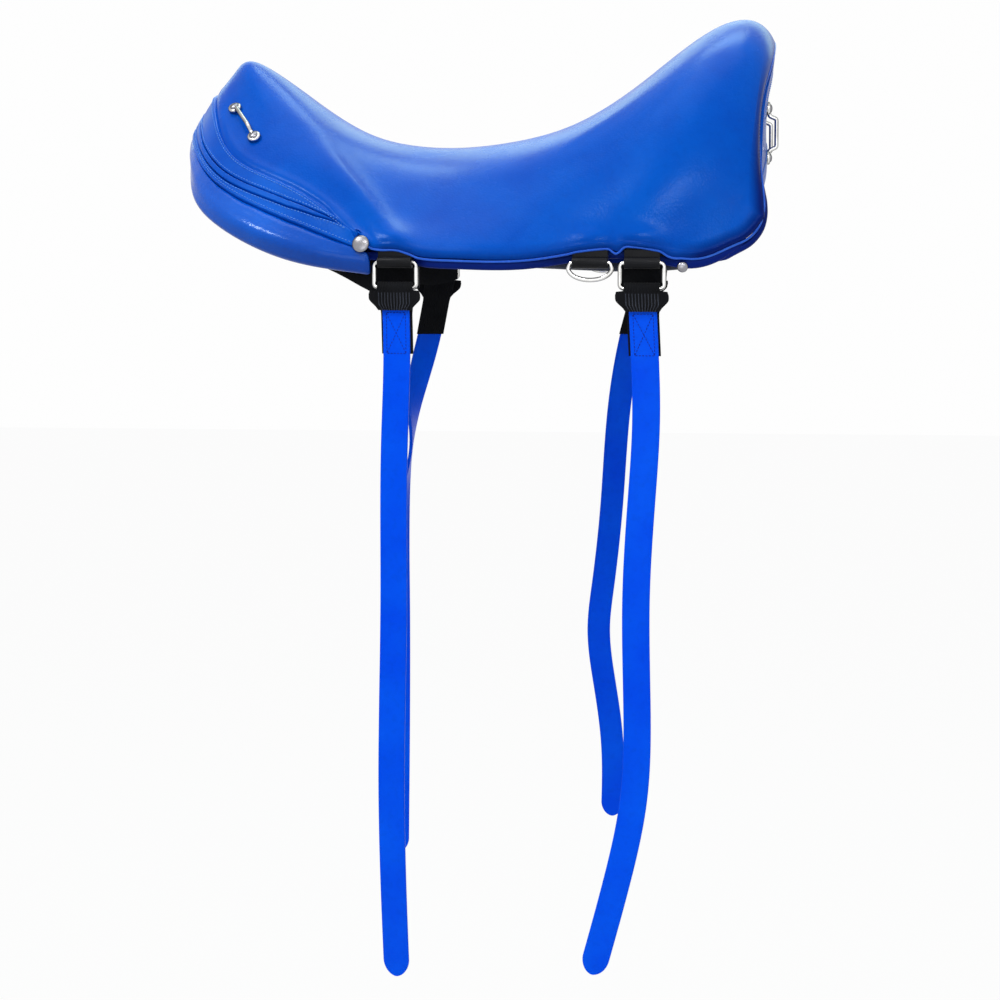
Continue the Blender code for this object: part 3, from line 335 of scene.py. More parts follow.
def moved(points, matrix):
    return np.asarray(points, float) @ np.array(matrix.to_3x3()).T + np.array(matrix.translation)


def axis_of(matrix, number):
    return np.array(matrix.col[number])[:3]


# ---------------------------------------------------------------- materials

class Nodes:
    """Short way to build a material's nodes."""

    def __init__(self, name):
        self.material = bpy.data.materials.new(name)
        self.material.use_nodes = True
        self.tree = self.material.node_tree
        self.shader = self.tree.nodes["Principled BSDF"]
        self.place = self.add("ShaderNodeTexCoord").outputs["Object"]

    def add(self, kind, **values):
        node = self.tree.nodes.new(kind)
        for key, value in values.items():
            if hasattr(node, key):
                setattr(node, key, value)
            else:
                node.inputs[key.replace("_", " ")].default_value = value
        return node

    def link(self, out, into):
        self.tree.links.new(out, into)

    def facing(self):
        return self.add("ShaderNodeLayerWeight", Blend=0.5).outputs["Facing"]

    def noise(self, scale, detail=3.0, rough=0.5, place=None):
        node = self.add("ShaderNodeTexNoise", Scale=scale, Detail=detail, Roughness=rough)
        self.link(place or self.place, node.inputs["Vector"])
        return node.outputs["Fac"]

    def ramp(self, value, low, high, stops=(0.3, 0.7)):
        node = self.add("ShaderNodeValToRGB")
        for element, stop, colour in zip(node.color_ramp.elements, stops, (low, high)):
            element.position = stop
            element.color = (*colour, 1)
        self.link(value, node.inputs["Fac"])
        return node.outputs["Color"]

    def scaled(self, value, low, high, first=0.25, last=0.75):
        node = self.add("ShaderNodeMapRange", From_Min=first, From_Max=last, To_Min=low, To_Max=high)
        self.link(value, node.inputs["Value"])
        return node.outputs["Result"]

    def bump(self, value, strength, distance, below=None):
        node = self.add("ShaderNodeBump", Strength=strength, Distance=distance)
        self.link(value, node.inputs["Height"])
        if below:
            self.link(below, node.inputs["Normal"])
        return node.outputs["Normal"]

    def mix(self, factor, first, second, kind="MIX"):
        node = self.add("ShaderNodeMix", data_type="RGBA", blend_type=kind)
        if isinstance(factor, float):
            node.inputs[0].default_value = factor
        else:
            self.link(factor, node.inputs[0])
        self.link(first, node.inputs[6])
        if isinstance(second, tuple):
            node.inputs[7].default_value = (*second, 1)
        else:
            self.link(second, node.inputs[7])
        return node.outputs[2]

    def finish(self, colour, rough, normal, **values):
        for value, socket in ((colour, "Base Color"), (rough, "Roughness"), (normal, "Normal")):
            self.link(value, self.shader.inputs[socket])
        for key, value in values.items():
            self.shader.inputs[key.replace("_", " ")].default_value = value
        return self.material


def leather(name, dark, light, rough=(0.21, 0.31), grain=0.22, specular=0.15, coat=0.0, deep=None,
            turned=None):
    """Finished leather: fine pebbled grain, cloudy dye and slightly uneven gloss.

    It may carry painted shade: darker low down between two heights, and darker where the edge turns in.
    """
    n = Nodes(name)
    tone = n.ramp(n.noise(16.0, 4.0, 0.55), dark, light, (0.32, 0.68))
    pores = n.add("ShaderNodeTexVoronoi", Scale=520.0)
    n.link(n.place, pores.inputs["Vector"])
    speck = n.ramp(n.noise(210.0, 2.0), (0.86, 0.88, 0.9), (1.0, 1.0, 1.0), (0.28, 0.5))
    colour = n.mix(0.55, tone, speck, "MULTIPLY")
    # Painted shade: the colour darkens towards the bottom, between the two heights in deep.
    if deep:
        split = n.add("ShaderNodeSeparateXYZ")
        n.link(n.place, split.inputs[0])
        shade = n.ramp(n.scaled(split.outputs["Z"], 0.0, 1.0, *deep), (0.45, 0.52, 0.66), (1, 1, 1), (0, 1))
        colour = n.mix(1.0, colour, shade, "MULTIPLY")
    # Painted shade: darker where the cover's edge turns in, by the share the seat's mesh carries.
    if turned:
        edge = n.add("ShaderNodeAttribute", attribute_name="painted_edge_shade").outputs["Fac"]
        colour = n.mix(1.0, colour, n.ramp(edge, (1, 1, 1), turned, (0.12, 0.8)), "MULTIPLY")
    waves = n.bump(n.noise(42.0, 2.0), 0.10, 0.0012)
    normal = n.bump(pores.outputs["Distance"], grain, 0.0003, waves)
    normal = n.bump(n.noise(1300.0, 2.0), grain * 0.5, 0.0001, normal)
    n.link(n.scaled(n.facing(), specular, specular * 0.3, 0.72, 0.97), n.shader.inputs["Specular IOR Level"])
    n.link(normal, n.shader.inputs["Coat Normal"])
    return n.finish(colour, n.scaled(n.noise(34.0, 3.0), *rough), normal, Specular_Tint=(0.30, 0.65, 1.0, 1),
                    Coat_Weight=coat, Coat_Roughness=0.14)


def woven(name, dark, light, scale=1500.0, rough=(0.75, 0.9), bump=0.6, sheen=0.12):
    """Woven nylon: fine crossing yarns."""
    n = Nodes(name)
    waves = []
    for direction, share in (("X", 6.0), ("Z", 4.0)):
        wave = n.add("ShaderNodeTexWave", wave_type="BANDS", bands_direction=direction, Scale=scale / share,
                     Distortion=0.6)
        n.link(n.place, wave.inputs["Vector"])
        waves.append(wave.outputs["Color"])
    yarn = n.mix(0.5, *waves)
    colour = n.mix(n.scaled(n.noise(90.0, 3.0), 0.0, 1.0), n.ramp(yarn, dark, light, (0.2, 0.8)), dark)
    return n.finish(colour, n.scaled(n.noise(60.0), *rough), n.bump(yarn, bump, 0.0002),
                    Sheen_Weight=sheen, Specular_IOR_Level=0.14)


def metal(name, colour, edge, rough=(0.10, 0.22), scratch=0.25, tarnish=(0.50, 0.49, 0.47)):
    """Metal with a painted reflection: its colour darkens where it turns away from view, as wire reflects the
    dark things around it.
    """
    n = Nodes(name)
    stretch = n.add("ShaderNodeMapping", Scale=(1.0, 1.0, 6.0))
    n.link(n.place, stretch.inputs["Vector"])
    streak = n.noise(420.0, 3.0, 0.6, stretch.outputs["Vector"])
    patch = n.noise(70.0, 3.0)
    base = n.ramp(patch, tarnish, colour, (0.30, 0.52))
    # Painted reflection: the colour turns to the edge colour where the surface turns away from view.
    base = n.mix(n.scaled(n.facing(), 0.0, 1.0, 0.22, 0.62), base, edge)
    return n.finish(base, n.scaled(patch, rough[1], rough[0]), n.bump(streak, scratch, 0.00006), Metallic=1.0)


def felt(name, dark, light):
    n = Nodes(name)
    fibre = n.noise(900.0, 4.0, 0.7)
    cloud = n.noise(40.0, 3.0)
    colour = n.mix(0.4, n.ramp(cloud, dark, light), n.ramp(fibre, dark, light, (0.35, 0.65)))
    normal = n.bump(fibre, 0.7, 0.0006, n.bump(cloud, 0.3, 0.002))
    return n.finish(colour, n.scaled(cloud, 0.9, 0.98), normal, Sheen_Weight=0.35)


def moulded(name, dark, light):
    n = Nodes(name)
    cloud = n.noise(60.0, 3.0)
    normal = n.bump(n.noise(720.0, 2.0), 0.15, 0.0002)
    return n.finish(n.ramp(cloud, dark, light), n.scaled(cloud, 0.5, 0.62), normal)


def srgb(red, green, blue):
    return tuple(((c / 255 + 0.055) / 1.055) ** 2.4 if c > 10 else c / 255 / 12.92
                 for c in (red, green, blue))


# SEAT's turned colour is painted shade near the turned-in rim.
SEAT = leather("seat_leather", srgb(0, 72, 180), srgb(0, 85, 194), specular=0.09, coat=0.022,
               turned=(0.2, 0.14, 0.32))
# PANEL's deep heights paint shade low on the front roll.
PANEL = leather("panel_leather", srgb(0, 74, 184), srgb(2, 90, 204), rough=(0.20, 0.30), grain=0.26,
                specular=0.2, coat=0.24, deep=(-0.076, -0.03))
TRIM = leather("trim_leather", srgb(0, 74, 182), srgb(4, 90, 200), rough=(0.26, 0.38), grain=0.3)
# The underside's dark navy, made darker as painted shade of the recessed, turned-under band.
RIM_DARK_AND_SHADE = leather("edge_leather", srgb(4, 20, 96), srgb(8, 30, 122), rough=(0.4, 0.5), grain=0.18)
# The piping's lighter colour is its leather with a painted highlight along the cord.
PIPING = leather("piping_leather", srgb(34, 84, 204), srgb(52, 104, 220), rough=(0.24, 0.32), grain=0.12,
                 specular=0.3)
STRAP = leather("strap_leather", srgb(0, 76, 246), srgb(2, 92, 254), rough=(0.28, 0.4), grain=0.16,
                specular=0.12)
THREAD = woven("blue_thread", srgb(74, 134, 226), srgb(120, 172, 244), scale=4000, sheen=0.1)
DARK_THREAD = woven("dark_thread", srgb(2, 34, 150), srgb(6, 52, 190), scale=4000, sheen=0.05)
WEB = woven("black_webbing", srgb(3, 4, 7), srgb(13, 15, 21), sheen=0.03)
WEB_RIB = woven("webbing_rib", srgb(34, 38, 48), srgb(72, 78, 92), rough=(0.55, 0.7))
TAB = woven("tab_webbing", srgb(4, 5, 9), srgb(14, 16, 24), rough=(0.34, 0.48), bump=0.3, sheen=0.03)
# The edge colours of CHROME and STEEL are painted reflection.
CHROME = metal("polished_wire", (0.70, 0.70, 0.69), (0.04, 0.04, 0.045))
STEEL = metal("domed_steel", (0.30, 0.30, 0.33), (0.05, 0.05, 0.06), rough=(0.22, 0.38), scratch=0.5,
              tarnish=(0.22, 0.21, 0.21))
FELT = felt("wool_felt", srgb(26, 30, 48), srgb(44, 50, 72))
TREE = moulded("tree_shell", srgb(30, 32, 40), srgb(44, 46, 56))


# ---------------------------------------------------------------- mesh building

def grid_faces(rows, columns, wrap_rows=False, wrap_columns=False, start=0, flip=False):
    faces = []
    for r in range(rows if wrap_rows else rows - 1):
        for c in range(columns if wrap_columns else columns - 1):
            below, here = start + r * columns, start + ((r + 1) % rows) * columns
            after = (c + 1) % columns
            face = (below + c, below + after, here + after, here + c)
            faces.append((face[0], *face[:0:-1]) if flip else face)
    return faces


def tube_faces(rows, columns, start=0):
    """Faces of a tube with both ends closed."""
    ends = [tuple(range(first, first + columns)) for first in (start, start + (rows - 1) * columns)]
    return grid_faces(rows, columns, False, True, start) + ends


def linked(name, data):
    made = bpy.data.objects.new(name, data)
    bpy.context.scene.collection.objects.link(made)
    return made


def finish_mesh(mesh, finish, angle):
    mesh.materials.clear()
    mesh.materials.append(finish)
    mesh.shade_smooth()
    mesh.set_sharp_from_angle(angle=math.radians(angle))


def new_object(name, vertices, faces, finish, angle=50, recalc=True):
    mesh = bpy.data.meshes.new(name)
    mesh.from_pydata(np.reshape(vertices, (-1, 3)).tolist(), [], faces)
    if recalc:
        work = bmesh.new()
        work.from_mesh(mesh)
        bmesh.ops.recalc_face_normals(work, faces=work.faces)
        work.to_mesh(mesh)
        work.free()
    finish_mesh(mesh, finish, angle)
    return linked(name, mesh)


def sandwich(name, top, under, finish, angle=60):
    """A closed piece between two grids of points."""
    rows, columns = top.shape[:2]
    second = rows * columns
    faces = grid_faces(rows, columns) + grid_faces(rows, columns, start=second, flip=True)
    index = np.arange(second).reshape(rows, columns)
    border = np.concatenate([index[:, 0], index[-1, 1:], index[-2::-1, -1], index[0, -2:0:-1]]).tolist()
    faces += [(a, b, b + second, a + second) for a, b in zip(border, border[1:] + border[:1])]
    return new_object(name, np.stack([top, under]), faces, finish, angle)


def grid_normals(points):
    return unit(np.cross(np.gradient(points, axis=0), np.gradient(points, axis=1)))


def top_normals(points):
    """Normals of a grid, pointing up in its middle."""
    normal = grid_normals(points)
    return normal * np.sign(normal[points.shape[0] // 2, points.shape[1] // 2, 2])


def finer(points):
    """Twice the rows and columns of a grid, with four-point interpolation."""
    for axis in (0, 1):
        points = np.moveaxis(points, axis, 0)
        padded = np.concatenate([2 * points[:1] - points[1:2], points, 2 * points[-1:] - points[-2:-1]])
        out = np.zeros((2 * len(points) - 1,) + points.shape[1:])
        out[0::2] = points
        out[1::2] = (9 * (padded[1:-2] + padded[2:-1]) - padded[:-3] - padded[3:]) / 16
        points = np.moveaxis(out, 0, axis)
    return points


def line_lengths(points):
    return np.concatenate([[0.0], np.cumsum(np.linalg.norm(np.diff(points, axis=0), axis=1))])


def read_line(lengths, points, at):
    """Points of a line at places along its length."""
    return np.stack([np.interp(at, lengths, points[:, i]) for i in range(3)], axis=1)


def resample(points, count):
    """A smooth line through points, read at even steps."""
    lengths = line_lengths(points)
    fine = spline(lengths, points, np.linspace(0, lengths[-1], count * 8))
    lengths = line_lengths(fine)
    return read_line(lengths, fine, np.linspace(0, lengths[-1], count))


def circle(radius, sides=16):
    turn = np.linspace(0, 2 * math.pi, sides, endpoint=False)
    return np.stack([np.cos(turn), np.sin(turn)], axis=1) * radius


def arc(centre, radius, first, last, steps):
    angles = np.radians(np.linspace(first, last, steps + 1))
    return [(centre[0] + radius * math.cos(a), centre[1] + radius * math.sin(a)) for a in angles]


def sweep(name, path, profile, finish, closed=False, scale=None):
    """A profile carried along a path without twist, with rounded ends where the path is open."""
    path = np.asarray(path, float)
    ahead = np.roll(path, -1, axis=0) - np.roll(path, 1, axis=0)
    if not closed:
        ahead[0] = path[1] - path[0]
        ahead[-1] = path[-1] - path[-2]
    ahead = unit(ahead)
    side = [unit(np.cross(ahead[0], (0.31, 0.52, 0.8)))]
    for direction in ahead[1:]:
        side.append(unit(side[-1] - direction * (side[-1] @ direction)))
    side = np.array(side)
    up = np.cross(ahead, side)
    sized = profile * (np.ones(len(path)) if scale is None else scale)[:, None, None]
    sections = path[:, None] + side[:, None] * sized[..., 0:1] + up[:, None] * sized[..., 1:2]
    if closed:
        return new_object(name, sections, grid_faces(len(path), len(profile), True, True), finish)
    reach = np.abs(profile).max() * 0.6
    caps = []
    for i, sign in ((0, -1), (-1, 1)):
        caps.append([path[i] + (sections[i] - path[i]) * math.sqrt(1 - turn ** 2)
                     + ahead[i] * sign * reach * turn for turn in (0.35, 0.7, 0.92)])
    sections = np.concatenate([caps[0][::-1], sections, caps[1]])
    return new_object(name, sections, tube_faces(len(sections), len(profile)), finish)


def turned_piece(name, profile, matrix, finish, steps=48, ring=False):
    """A profile of radius and height, turned about the frame's third axis."""
    profile = np.array(profile, float)
    turn = np.linspace(0, 2 * math.pi, steps, endpoint=False)
    points = np.stack([profile[:, :1] * np.cos(turn), profile[:, :1] * np.sin(turn),
                       profile[:, 1:] * np.ones(steps)], axis=-1)
    rows = len(profile)
    faces = grid_faces(rows, steps, True, True) if ring else tube_faces(rows, steps)
    return new_object(name, moved(points, matrix), faces, finish, 45)


def dress(piece, body, slot, *nodes):
    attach(piece, body)
    if nodes:
        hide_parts(*nodes)
    return piece


def sew(name, rows, finish, body, slot, pitch=3.3 * MM, length=2.5 * MM, radius=0.42 * MM):
    """Rows of stitches that dip into the leather at both ends. A row is a line and its normals."""
    rings, sides = 5, 6
    t = np.linspace(-1, 1, rings)[:, None]
    turn = np.linspace(0, 2 * math.pi, sides, endpoint=False)
    width = radius * np.sqrt(np.maximum(1 - np.abs(t) ** 3, 0.06))
    local = np.stack([t * length / 2 * np.ones(sides), width * np.cos(turn),
                      width * np.sin(turn) - t ** 2 * radius * 0.8 + 0.15 * MM], axis=-1).reshape(1, -1, 3)
    made = []
    for line, normals in rows:
        lengths = line_lengths(line)
        count = max(int(lengths[-1] / pitch), 1)
        at = (np.arange(count) + 0.5) * lengths[-1] / count
        place = read_line(lengths, line, at)
        ahead = unit(read_line(lengths, line, at + 0.5 * MM) - read_line(lengths, line, at - 0.5 * MM))
        up = read_line(lengths, normals, at)
        up = unit(up - ahead * (up * ahead).sum(axis=1, keepdims=True))
        across = np.cross(up, ahead)
        made.append(place[:, None] + ahead[:, None] * local[..., 0:1] + across[:, None] * local[..., 1:2]
                    + up[:, None] * local[..., 2:3])
    made = np.concatenate(made)
    faces = [face for i in range(len(made)) for face in tube_faces(rings, sides, i * rings * sides)]
    dress(new_object(name, made, faces, finish, 80), body, slot)


def softened(grid, passes):
    """A grid of moves with its short waves evened out."""
    for _ in range(passes):
        for axis in (0, 1):
            grid = np.moveaxis(grid, axis, 0)
            wide = np.concatenate([grid[:1], grid, grid[-1:]])
            grid = np.moveaxis((wide[:-2] + 2 * wide[1:-1] + wide[2:]) / 4, 0, axis)
    return grid


def inflated(grid, faces, held, pressure, cap, passes, recalc=True):
    """Air pressure in the padding: the cover swells between its seams, and the soft part of that is kept."""
    scene = bpy.context.scene
    piece = new_object("swelling", grid, faces, SEAT, recalc=recalc)
    before = np.zeros(grid.size)
    piece.data.vertices.foreach_get("co", before)
    after = before.copy()
    group = piece.vertex_groups.new(name="held")
    weights = np.round(held.reshape(-1), 2)
    for level in np.unique(weights[weights > 0]):
        group.add(np.nonzero(weights == level)[0].tolist(), float(level), "REPLACE")
    cloth = piece.modifiers.new("puff", "CLOTH")
    settings = dict(quality=5, mass=0.25, tension_stiffness=25.0, compression_stiffness=25.0,
                    shear_stiffness=12.5, bending_stiffness=2.0, use_pressure=True,
                    uniform_pressure_force=pressure, vertex_group_mass="held")
    for key, value in settings.items():
        setattr(cloth.settings, key, value)
    cloth.settings.effector_weights.gravity = 0.0
    cloth.collision_settings.use_collision = False
    cloth.point_cache.frame_start = 1
    cloth.point_cache.frame_end = 20
    for number in range(1, 21):
        scene.frame_set(number)
    shown = piece.evaluated_get(bpy.context.evaluated_depsgraph_get()).to_mesh()
    shown.vertices.foreach_get("co", after)
    mesh = piece.data
    bpy.data.objects.remove(piece, do_unlink=True)
    bpy.data.meshes.remove(mesh)
    scene.frame_set(1)
    move = softened((after - before).reshape(grid.shape), passes)
    size = np.linalg.norm(move, axis=-1, keepdims=True)
    return before.reshape(grid.shape) + move * cap * np.tanh(size / cap) / np.maximum(size, 1e-9)


def wrinkle(along, across, seed):
    """Soft pseudo-random waves, the same each run."""
    rng = np.random.default_rng(seed)
    total = np.zeros_like(along)
    for _ in range(7):
        a, b, phase = rng.uniform(0.6, 1.5), rng.uniform(-0.35, 0.35), rng.uniform(0, 6.28)
        total += np.sin(along * a + across * b + phase) / 7
    return total


# ---------------------------------------------------------------- seat cover over its foam

def cover_sides(ribs):
    """Columns of points that turn the cover over both skirt edges, from the face inwards."""
    sides = []
    for side in (-1, 1):
        out = sideways(ribs, side)
        foot = outer(ribs, [side])[:, 0]
        edge = rolled_edge(ribs, side)
        edge[:, 2] += tab_lift(edge[:, 0]) * smooth_step((ribs - 4) / 0.6)
        fall = (foot - edge)[:, 2:3] * np.array([0, 0, 1.0])
        rolled = smooth_step((ribs - BAND_HEAD) / 1.5)[:, None]
        sides.append(np.stack([foot + out * (0.95 * MM) * rolled - fall * 0.36,
                               foot + out * (1.15 * MM) * rolled - fall * 0.72,
                               edge - out * (0.7 * MM + 0.5 * MM * rolled) + np.array([0, 0, 0.2 * MM]),
                               edge - out * 2.4 * MM + np.array([0, 0, 0.5 * MM])], axis=1))
    return sides


def cover_relief(top):
    """Height of the cover's dents, creases and the swells over the tabs."""
    away_front = np.linalg.norm(top - top[:1], axis=-1)
    foot_z = np.minimum(top[:, :1, 2], top[:, -1:, 2])
    up_flank = np.clip((top[..., 2] - foot_z) / (30 * MM), 0, None)
    relief = -0.8 * MM * np.exp(-((away_front - 2.5 * MM) / (2.0 * MM)) ** 2)
    relief += 0.5 * MM * np.exp(-((away_front - 9 * MM) / (3.5 * MM)) ** 2)
    near_edge = np.exp(-((up_flank - 0.5) / 0.42) ** 2)
    relief += 0.8 * MM * near_edge * wrinkle(top[..., 0] / (8.5 * MM), up_flank * 5, 4)
    relief += 0.35 * MM * wrinkle(top[..., 0] / (26 * MM), top[..., 1] / (22 * MM), 9)
    for side, hand in BOTH:
        for x, width in ((RING_X["front"], 15), (RING_X["rear"], 15), (D_RING_X, 14)):
            gap = top - edge_place(x, side)[0] - np.array([0, 0, 9 * MM])
            shape = np.exp(-(gap[..., 0] / (width * MM)) ** 2 - (gap[..., 2] / (9.0 * MM)) ** 2)
            relief += 1.8 * MM * shape * (np.sign(top[..., 1]) == side)
        for rib, share in FRONT_LOOP_FEET:
            centre = outer([rib], [side * share])[0, 0]
            for depth, radius, shift in ((-1.0, 6.5, (0, 0, 0)), (0.5, 8, (6, 0, -4))):
                away = np.linalg.norm(top - centre - np.array(shift) * MM, axis=-1)
                relief += depth * MM * np.exp(-(away / (radius * MM)) ** 2 / 2)
    return relief


def turned_edge(top):
    """How far each point of the cover turns in near its rear and lower rim, and its share of painted shade."""
    rows, columns = top.shape[:2]
    rim = np.concatenate([top[::2, 6], top[-1, 6:-6:2], top[::2, -7]])
    roll = np.zeros((rows, columns))
    turned = np.zeros((rows, columns))
    beside = np.minimum(np.arange(columns), np.arange(columns)[::-1])[None] < 36
    near = np.argwhere((top[..., 0] > -80 * MM) & (beside | (np.arange(rows)[:, None] > rows - 26)))
    for r, c in zip(*(np.array_split(near[:, k], 40) for k in (0, 1))):
        away = np.linalg.norm(top[r, c][:, None] - rim[None], axis=-1).min(axis=1)
        turn = 1 - np.clip(away / ROLL_WIDTH, 0, 1)
        roll[r, c] = roll_depth(top[r, c]) * (1 - np.sqrt(1 - 0.98 * turn ** 2))
        turned[r, c] = turn * roll_depth(top[r, c]) / ROLL_FULL
    return roll, turned


def seat_skin():
    rows = 84
    ribs = BAND_HEAD + 0.02 + (RIM - BAND_HEAD - 0.02) * np.linspace(0, 1, rows)
    shares = np.linspace(-1, 1, 84)
    under_bands = 0.12 + 0.5 * smooth_step((np.abs(shares) - 0.86) / 0.12)
    fade = np.clip(1 - np.arange(rows) / 9, 0, 1)
    top = np.stack([layer(ribs - fade * tuck, [share], 0.4 * MM)[:, 0]
                    for share, tuck in zip(shares, under_bands)], axis=1)
    left, right = cover_sides(ribs)
    top = corner_bulge(np.concatenate([left[:, ::-1], top, right], axis=1))
    inwards = -outer_normals(ribs, np.clip(np.concatenate([[-1] * 4, shares, [1] * 4]), -0.97, 0.97))
    columns = top.shape[1]
    held = np.zeros((rows, columns))
    for ring, weight in enumerate((1.0, 1.0, 0.85, 0.6, 0.35, 0.15)):
        for line in (ring, -1 - ring):
            held[line] = np.maximum(held[line], weight)
    for ring, weight in enumerate((1.0, 1.0, 1.0, 1.0, 0.9, 0.6, 0.3, 0.1)):
        for line in (ring, -1 - ring):
            held[:, line] = np.maximum(held[:, line], weight)
    top = inflated(top, grid_faces(rows, columns), held, 2.5, 1.2 * MM, 14, recalc=False)
    facing = top_normals(top)
    rise = ((softened(top, 8) - top) * facing).sum(axis=-1)
    top = top + facing * (np.clip(rise, -0.2 * MM, 3 * MM) * (1 - held))[..., None]
    top = finer(finer(top))
    inwards = finer(finer(inwards))
    normal = top_normals(top)
    roll, turned = turned_edge(top)
    top = top + normal * cover_relief(top)[..., None] + inwards * roll[..., None]
    skin = sandwich("seat_skin", top, top - normal * 1.7 * MM, SEAT, 75)
    # Painted shade: each point's share of darkening near the turned-in rim, read by the seat's material.
    shade = skin.data.attributes.new("painted_edge_shade", "FLOAT", "POINT")
    shade.data.foreach_set("value", np.concatenate([turned.reshape(-1)] * 2).astype(np.float32))
    dress(skin, "root", "seat_leather", "seat_cover", "seat_foam")


# ---------------------------------------------------------------- padded front panel

def front_roll():
    shares = np.linspace(-1, 1, 96)
    ribs = np.array([1.97, 1.9, 1.6, 1.2, 0.8, 0.4, 0.08])
    face = layer(ribs, shares, 0.3 * MM)
    face[0] = layer([1.985], shares, 1.1 * MM)[0]
    inner_ribs = np.array([0.1, 0.6, 1.1])
    inner = layer(inner_ribs, shares, padding(inner_ribs, shares) * 0.96)
    roll = (face[-1] + inner[0]) / 2 - unit(face[-2] - face[-1]) * 3.4 * MM
    back = layer([1.97], shares, padding(np.array([1.97]), shares) * 0.85)
    sheet = np.concatenate([face, roll[None], inner, back])
    rows = 44
    lines = np.stack([resample(sheet[:, c], rows) for c in range(len(shares))], axis=1)
    ends = []
    for last, before in ((0, 3), (-1, -4)):
        centre = lines[:, last].mean(axis=0)
        ahead = unit(centre - lines[:, before].mean(axis=0))
        inwards = np.array([0, -np.sign(lines[0, last, 1]), 0])
        ends.append([centre + ahead * reach * MM + inwards * 0.3 * reach * MM
                     + (lines[:, last] - centre) * shrink
                     for reach, shrink in ((1.5, 0.985), (2.8, 0.93), (3.6, 0.8), (4.0, 0.5))])
    lines = np.concatenate([np.stack(ends[0][::-1], axis=1), lines, np.stack(ends[1], axis=1)], axis=1)

    def closed_faces(rows, columns):
        ends = [tuple(r * columns + c for r in range(rows)) for c in (0, columns - 1)]
        return grid_faces(rows, columns, True, False) + ends

    columns = lines.shape[1]
    held = np.zeros((rows, columns))
    for ring, weight in enumerate((1.0, 1.0, 0.7, 0.35)):
        held[ring] = weight
        held[-1 - ring] = 1.0
    held[rows * 2 // 3:] = 1.0
    held[:, :2] = held[:, -2:] = 1.0
    lines = inflated(lines, closed_faces(rows, columns), held, 4.0, 2.6 * MM, 4)
    lines = finer(np.concatenate([lines, lines[:1]]))
    normal = grid_normals(lines)
    if ((lines - lines.mean(axis=0, keepdims=True)) * normal).sum() < 0:
        normal = -normal
    seam = np.linalg.norm(lines - lines[:1], axis=-1)
    seam[len(lines) // 2:] = 1.0
    pucker = wrinkle(np.cumsum(np.ones_like(seam), axis=1) * 0.62, seam / (9 * MM), 12)
    relief = 0.55 * MM * pucker * np.exp(-(seam / (9 * MM)) ** 2)
    relief += 0.4 * MM * wrinkle(lines[..., 0] / (17 * MM), lines[..., 2] / (13 * MM), 5) * (seam > 0.002)
    lines = (lines + normal * relief[..., None])[:-1]
    piece = new_object("front_panel_pad", lines, closed_faces(*lines.shape[:2]), PANEL, 75)
    dress(piece, "root", "panel_leather", "front_panel")


# ---------------------------------------------------------------- stitched trim bands

def band(name, low, high, end, node, proud, bead=0.0):
    """A strip between two lines of rib numbers by share, with rolled edges and a bead on the lower one."""
    even = np.linspace(-end, end, 231)
    shares = end * np.sin(np.linspace(-math.pi / 2, math.pi / 2, 231)) * 0.4 + 0.6 * even
    across = np.array([0, 0.015, 0.045, 0.09, 0.15, 0.3, 0.5, 0.7, 0.85, 0.91, 0.955, 0.985, 1.0])
    top, under = [], []
    for share in shares:
        first, last = low(abs(share)), high(abs(share))
        taper = math.sqrt(max(1 - (1 - min((end - abs(share)) / 0.02, 1)) ** 2, 0.02))
        middle = (first + last) / 2
        first, last = middle + (first - middle) * taper, middle + (last - middle) * taper
        ribs = first + (last - first) * across
        surface = outer(ribs, [share])[:, 0]
        normal = outer_normals(ribs, [share])[:, 0]
        width = np.linalg.norm(surface[-1] - surface[0])
        edge = np.minimum(across, 1 - across) * width
        rise = (0.7 + proud * min(width / (4 * MM), 1)) * MM
        height = -0.7 * MM + rise * np.sqrt(np.clip(edge / (0.8 * MM), 0, 1))
        height += bead * MM * np.exp(-((across * width - 1.2 * MM) / (0.8 * MM)) ** 2)
        top.append(surface + normal * height[:, None])
        under.append(surface - normal * 1.9 * MM)
    dress(sandwich(name, np.array(top), np.array(under), TRIM), "root", "trim_leather", node)


def line_beside(rib_of, inset, height, last):
    """A line of points and normals beside a rib line, moved up the surface by the inset."""
    points, normals = [], []
    for share in np.linspace(-last, last, 150):
        rib = rib_of(abs(share))
        step = outer([rib + 0.05], [share])[0, 0] - outer([rib - 0.05], [share])[0, 0]
        rib = rib + inset / (np.linalg.norm(step) / 0.1)
        points.append(outer([rib], [share])[0, 0])
        normals.append(outer_normals([rib], [share])[0, 0])
    return np.array(points) + np.array(normals) * height, np.array(normals)


def trims():
    foot = lambda s: BAND_FOOT + 0.004
    head = lambda s: BAND_HEAD - 0.02
    lower = lambda s: float(np.interp(s, BAND_SHARES, LOWER_SEAM))
    upper = lambda s: float(np.interp(s, BAND_SHARES, UPPER_SEAM))
    gap = 0.006
    band("lower_band", foot, lambda s: lower(s) - gap, 0.992, "trim_band_lower", 1.0, bead=0.5)
    band("middle_band", lambda s: lower(s) + gap, lambda s: upper(s) - gap, 0.925, "trim_band_middle", 1.7)
    band("upper_band", lambda s: upper(s) + gap, head, 0.985, "trim_band_upper", 1.0, bead=0.3)
    seams = ((head, -2.6, 0.95), (upper, 2.4, 0.93), (lower, -1.8, 0.96), (foot, 3.0, 0.97))
    rows = [line_beside(seam, inset * MM, 1.15 * MM, last) for seam, inset, last in seams]
    sew("band_stitching", rows, THREAD, "root", "trim_leather", 3.0 * MM, 2.1 * MM)


# ---------------------------------------------------------------- pipings, cantle back, underside

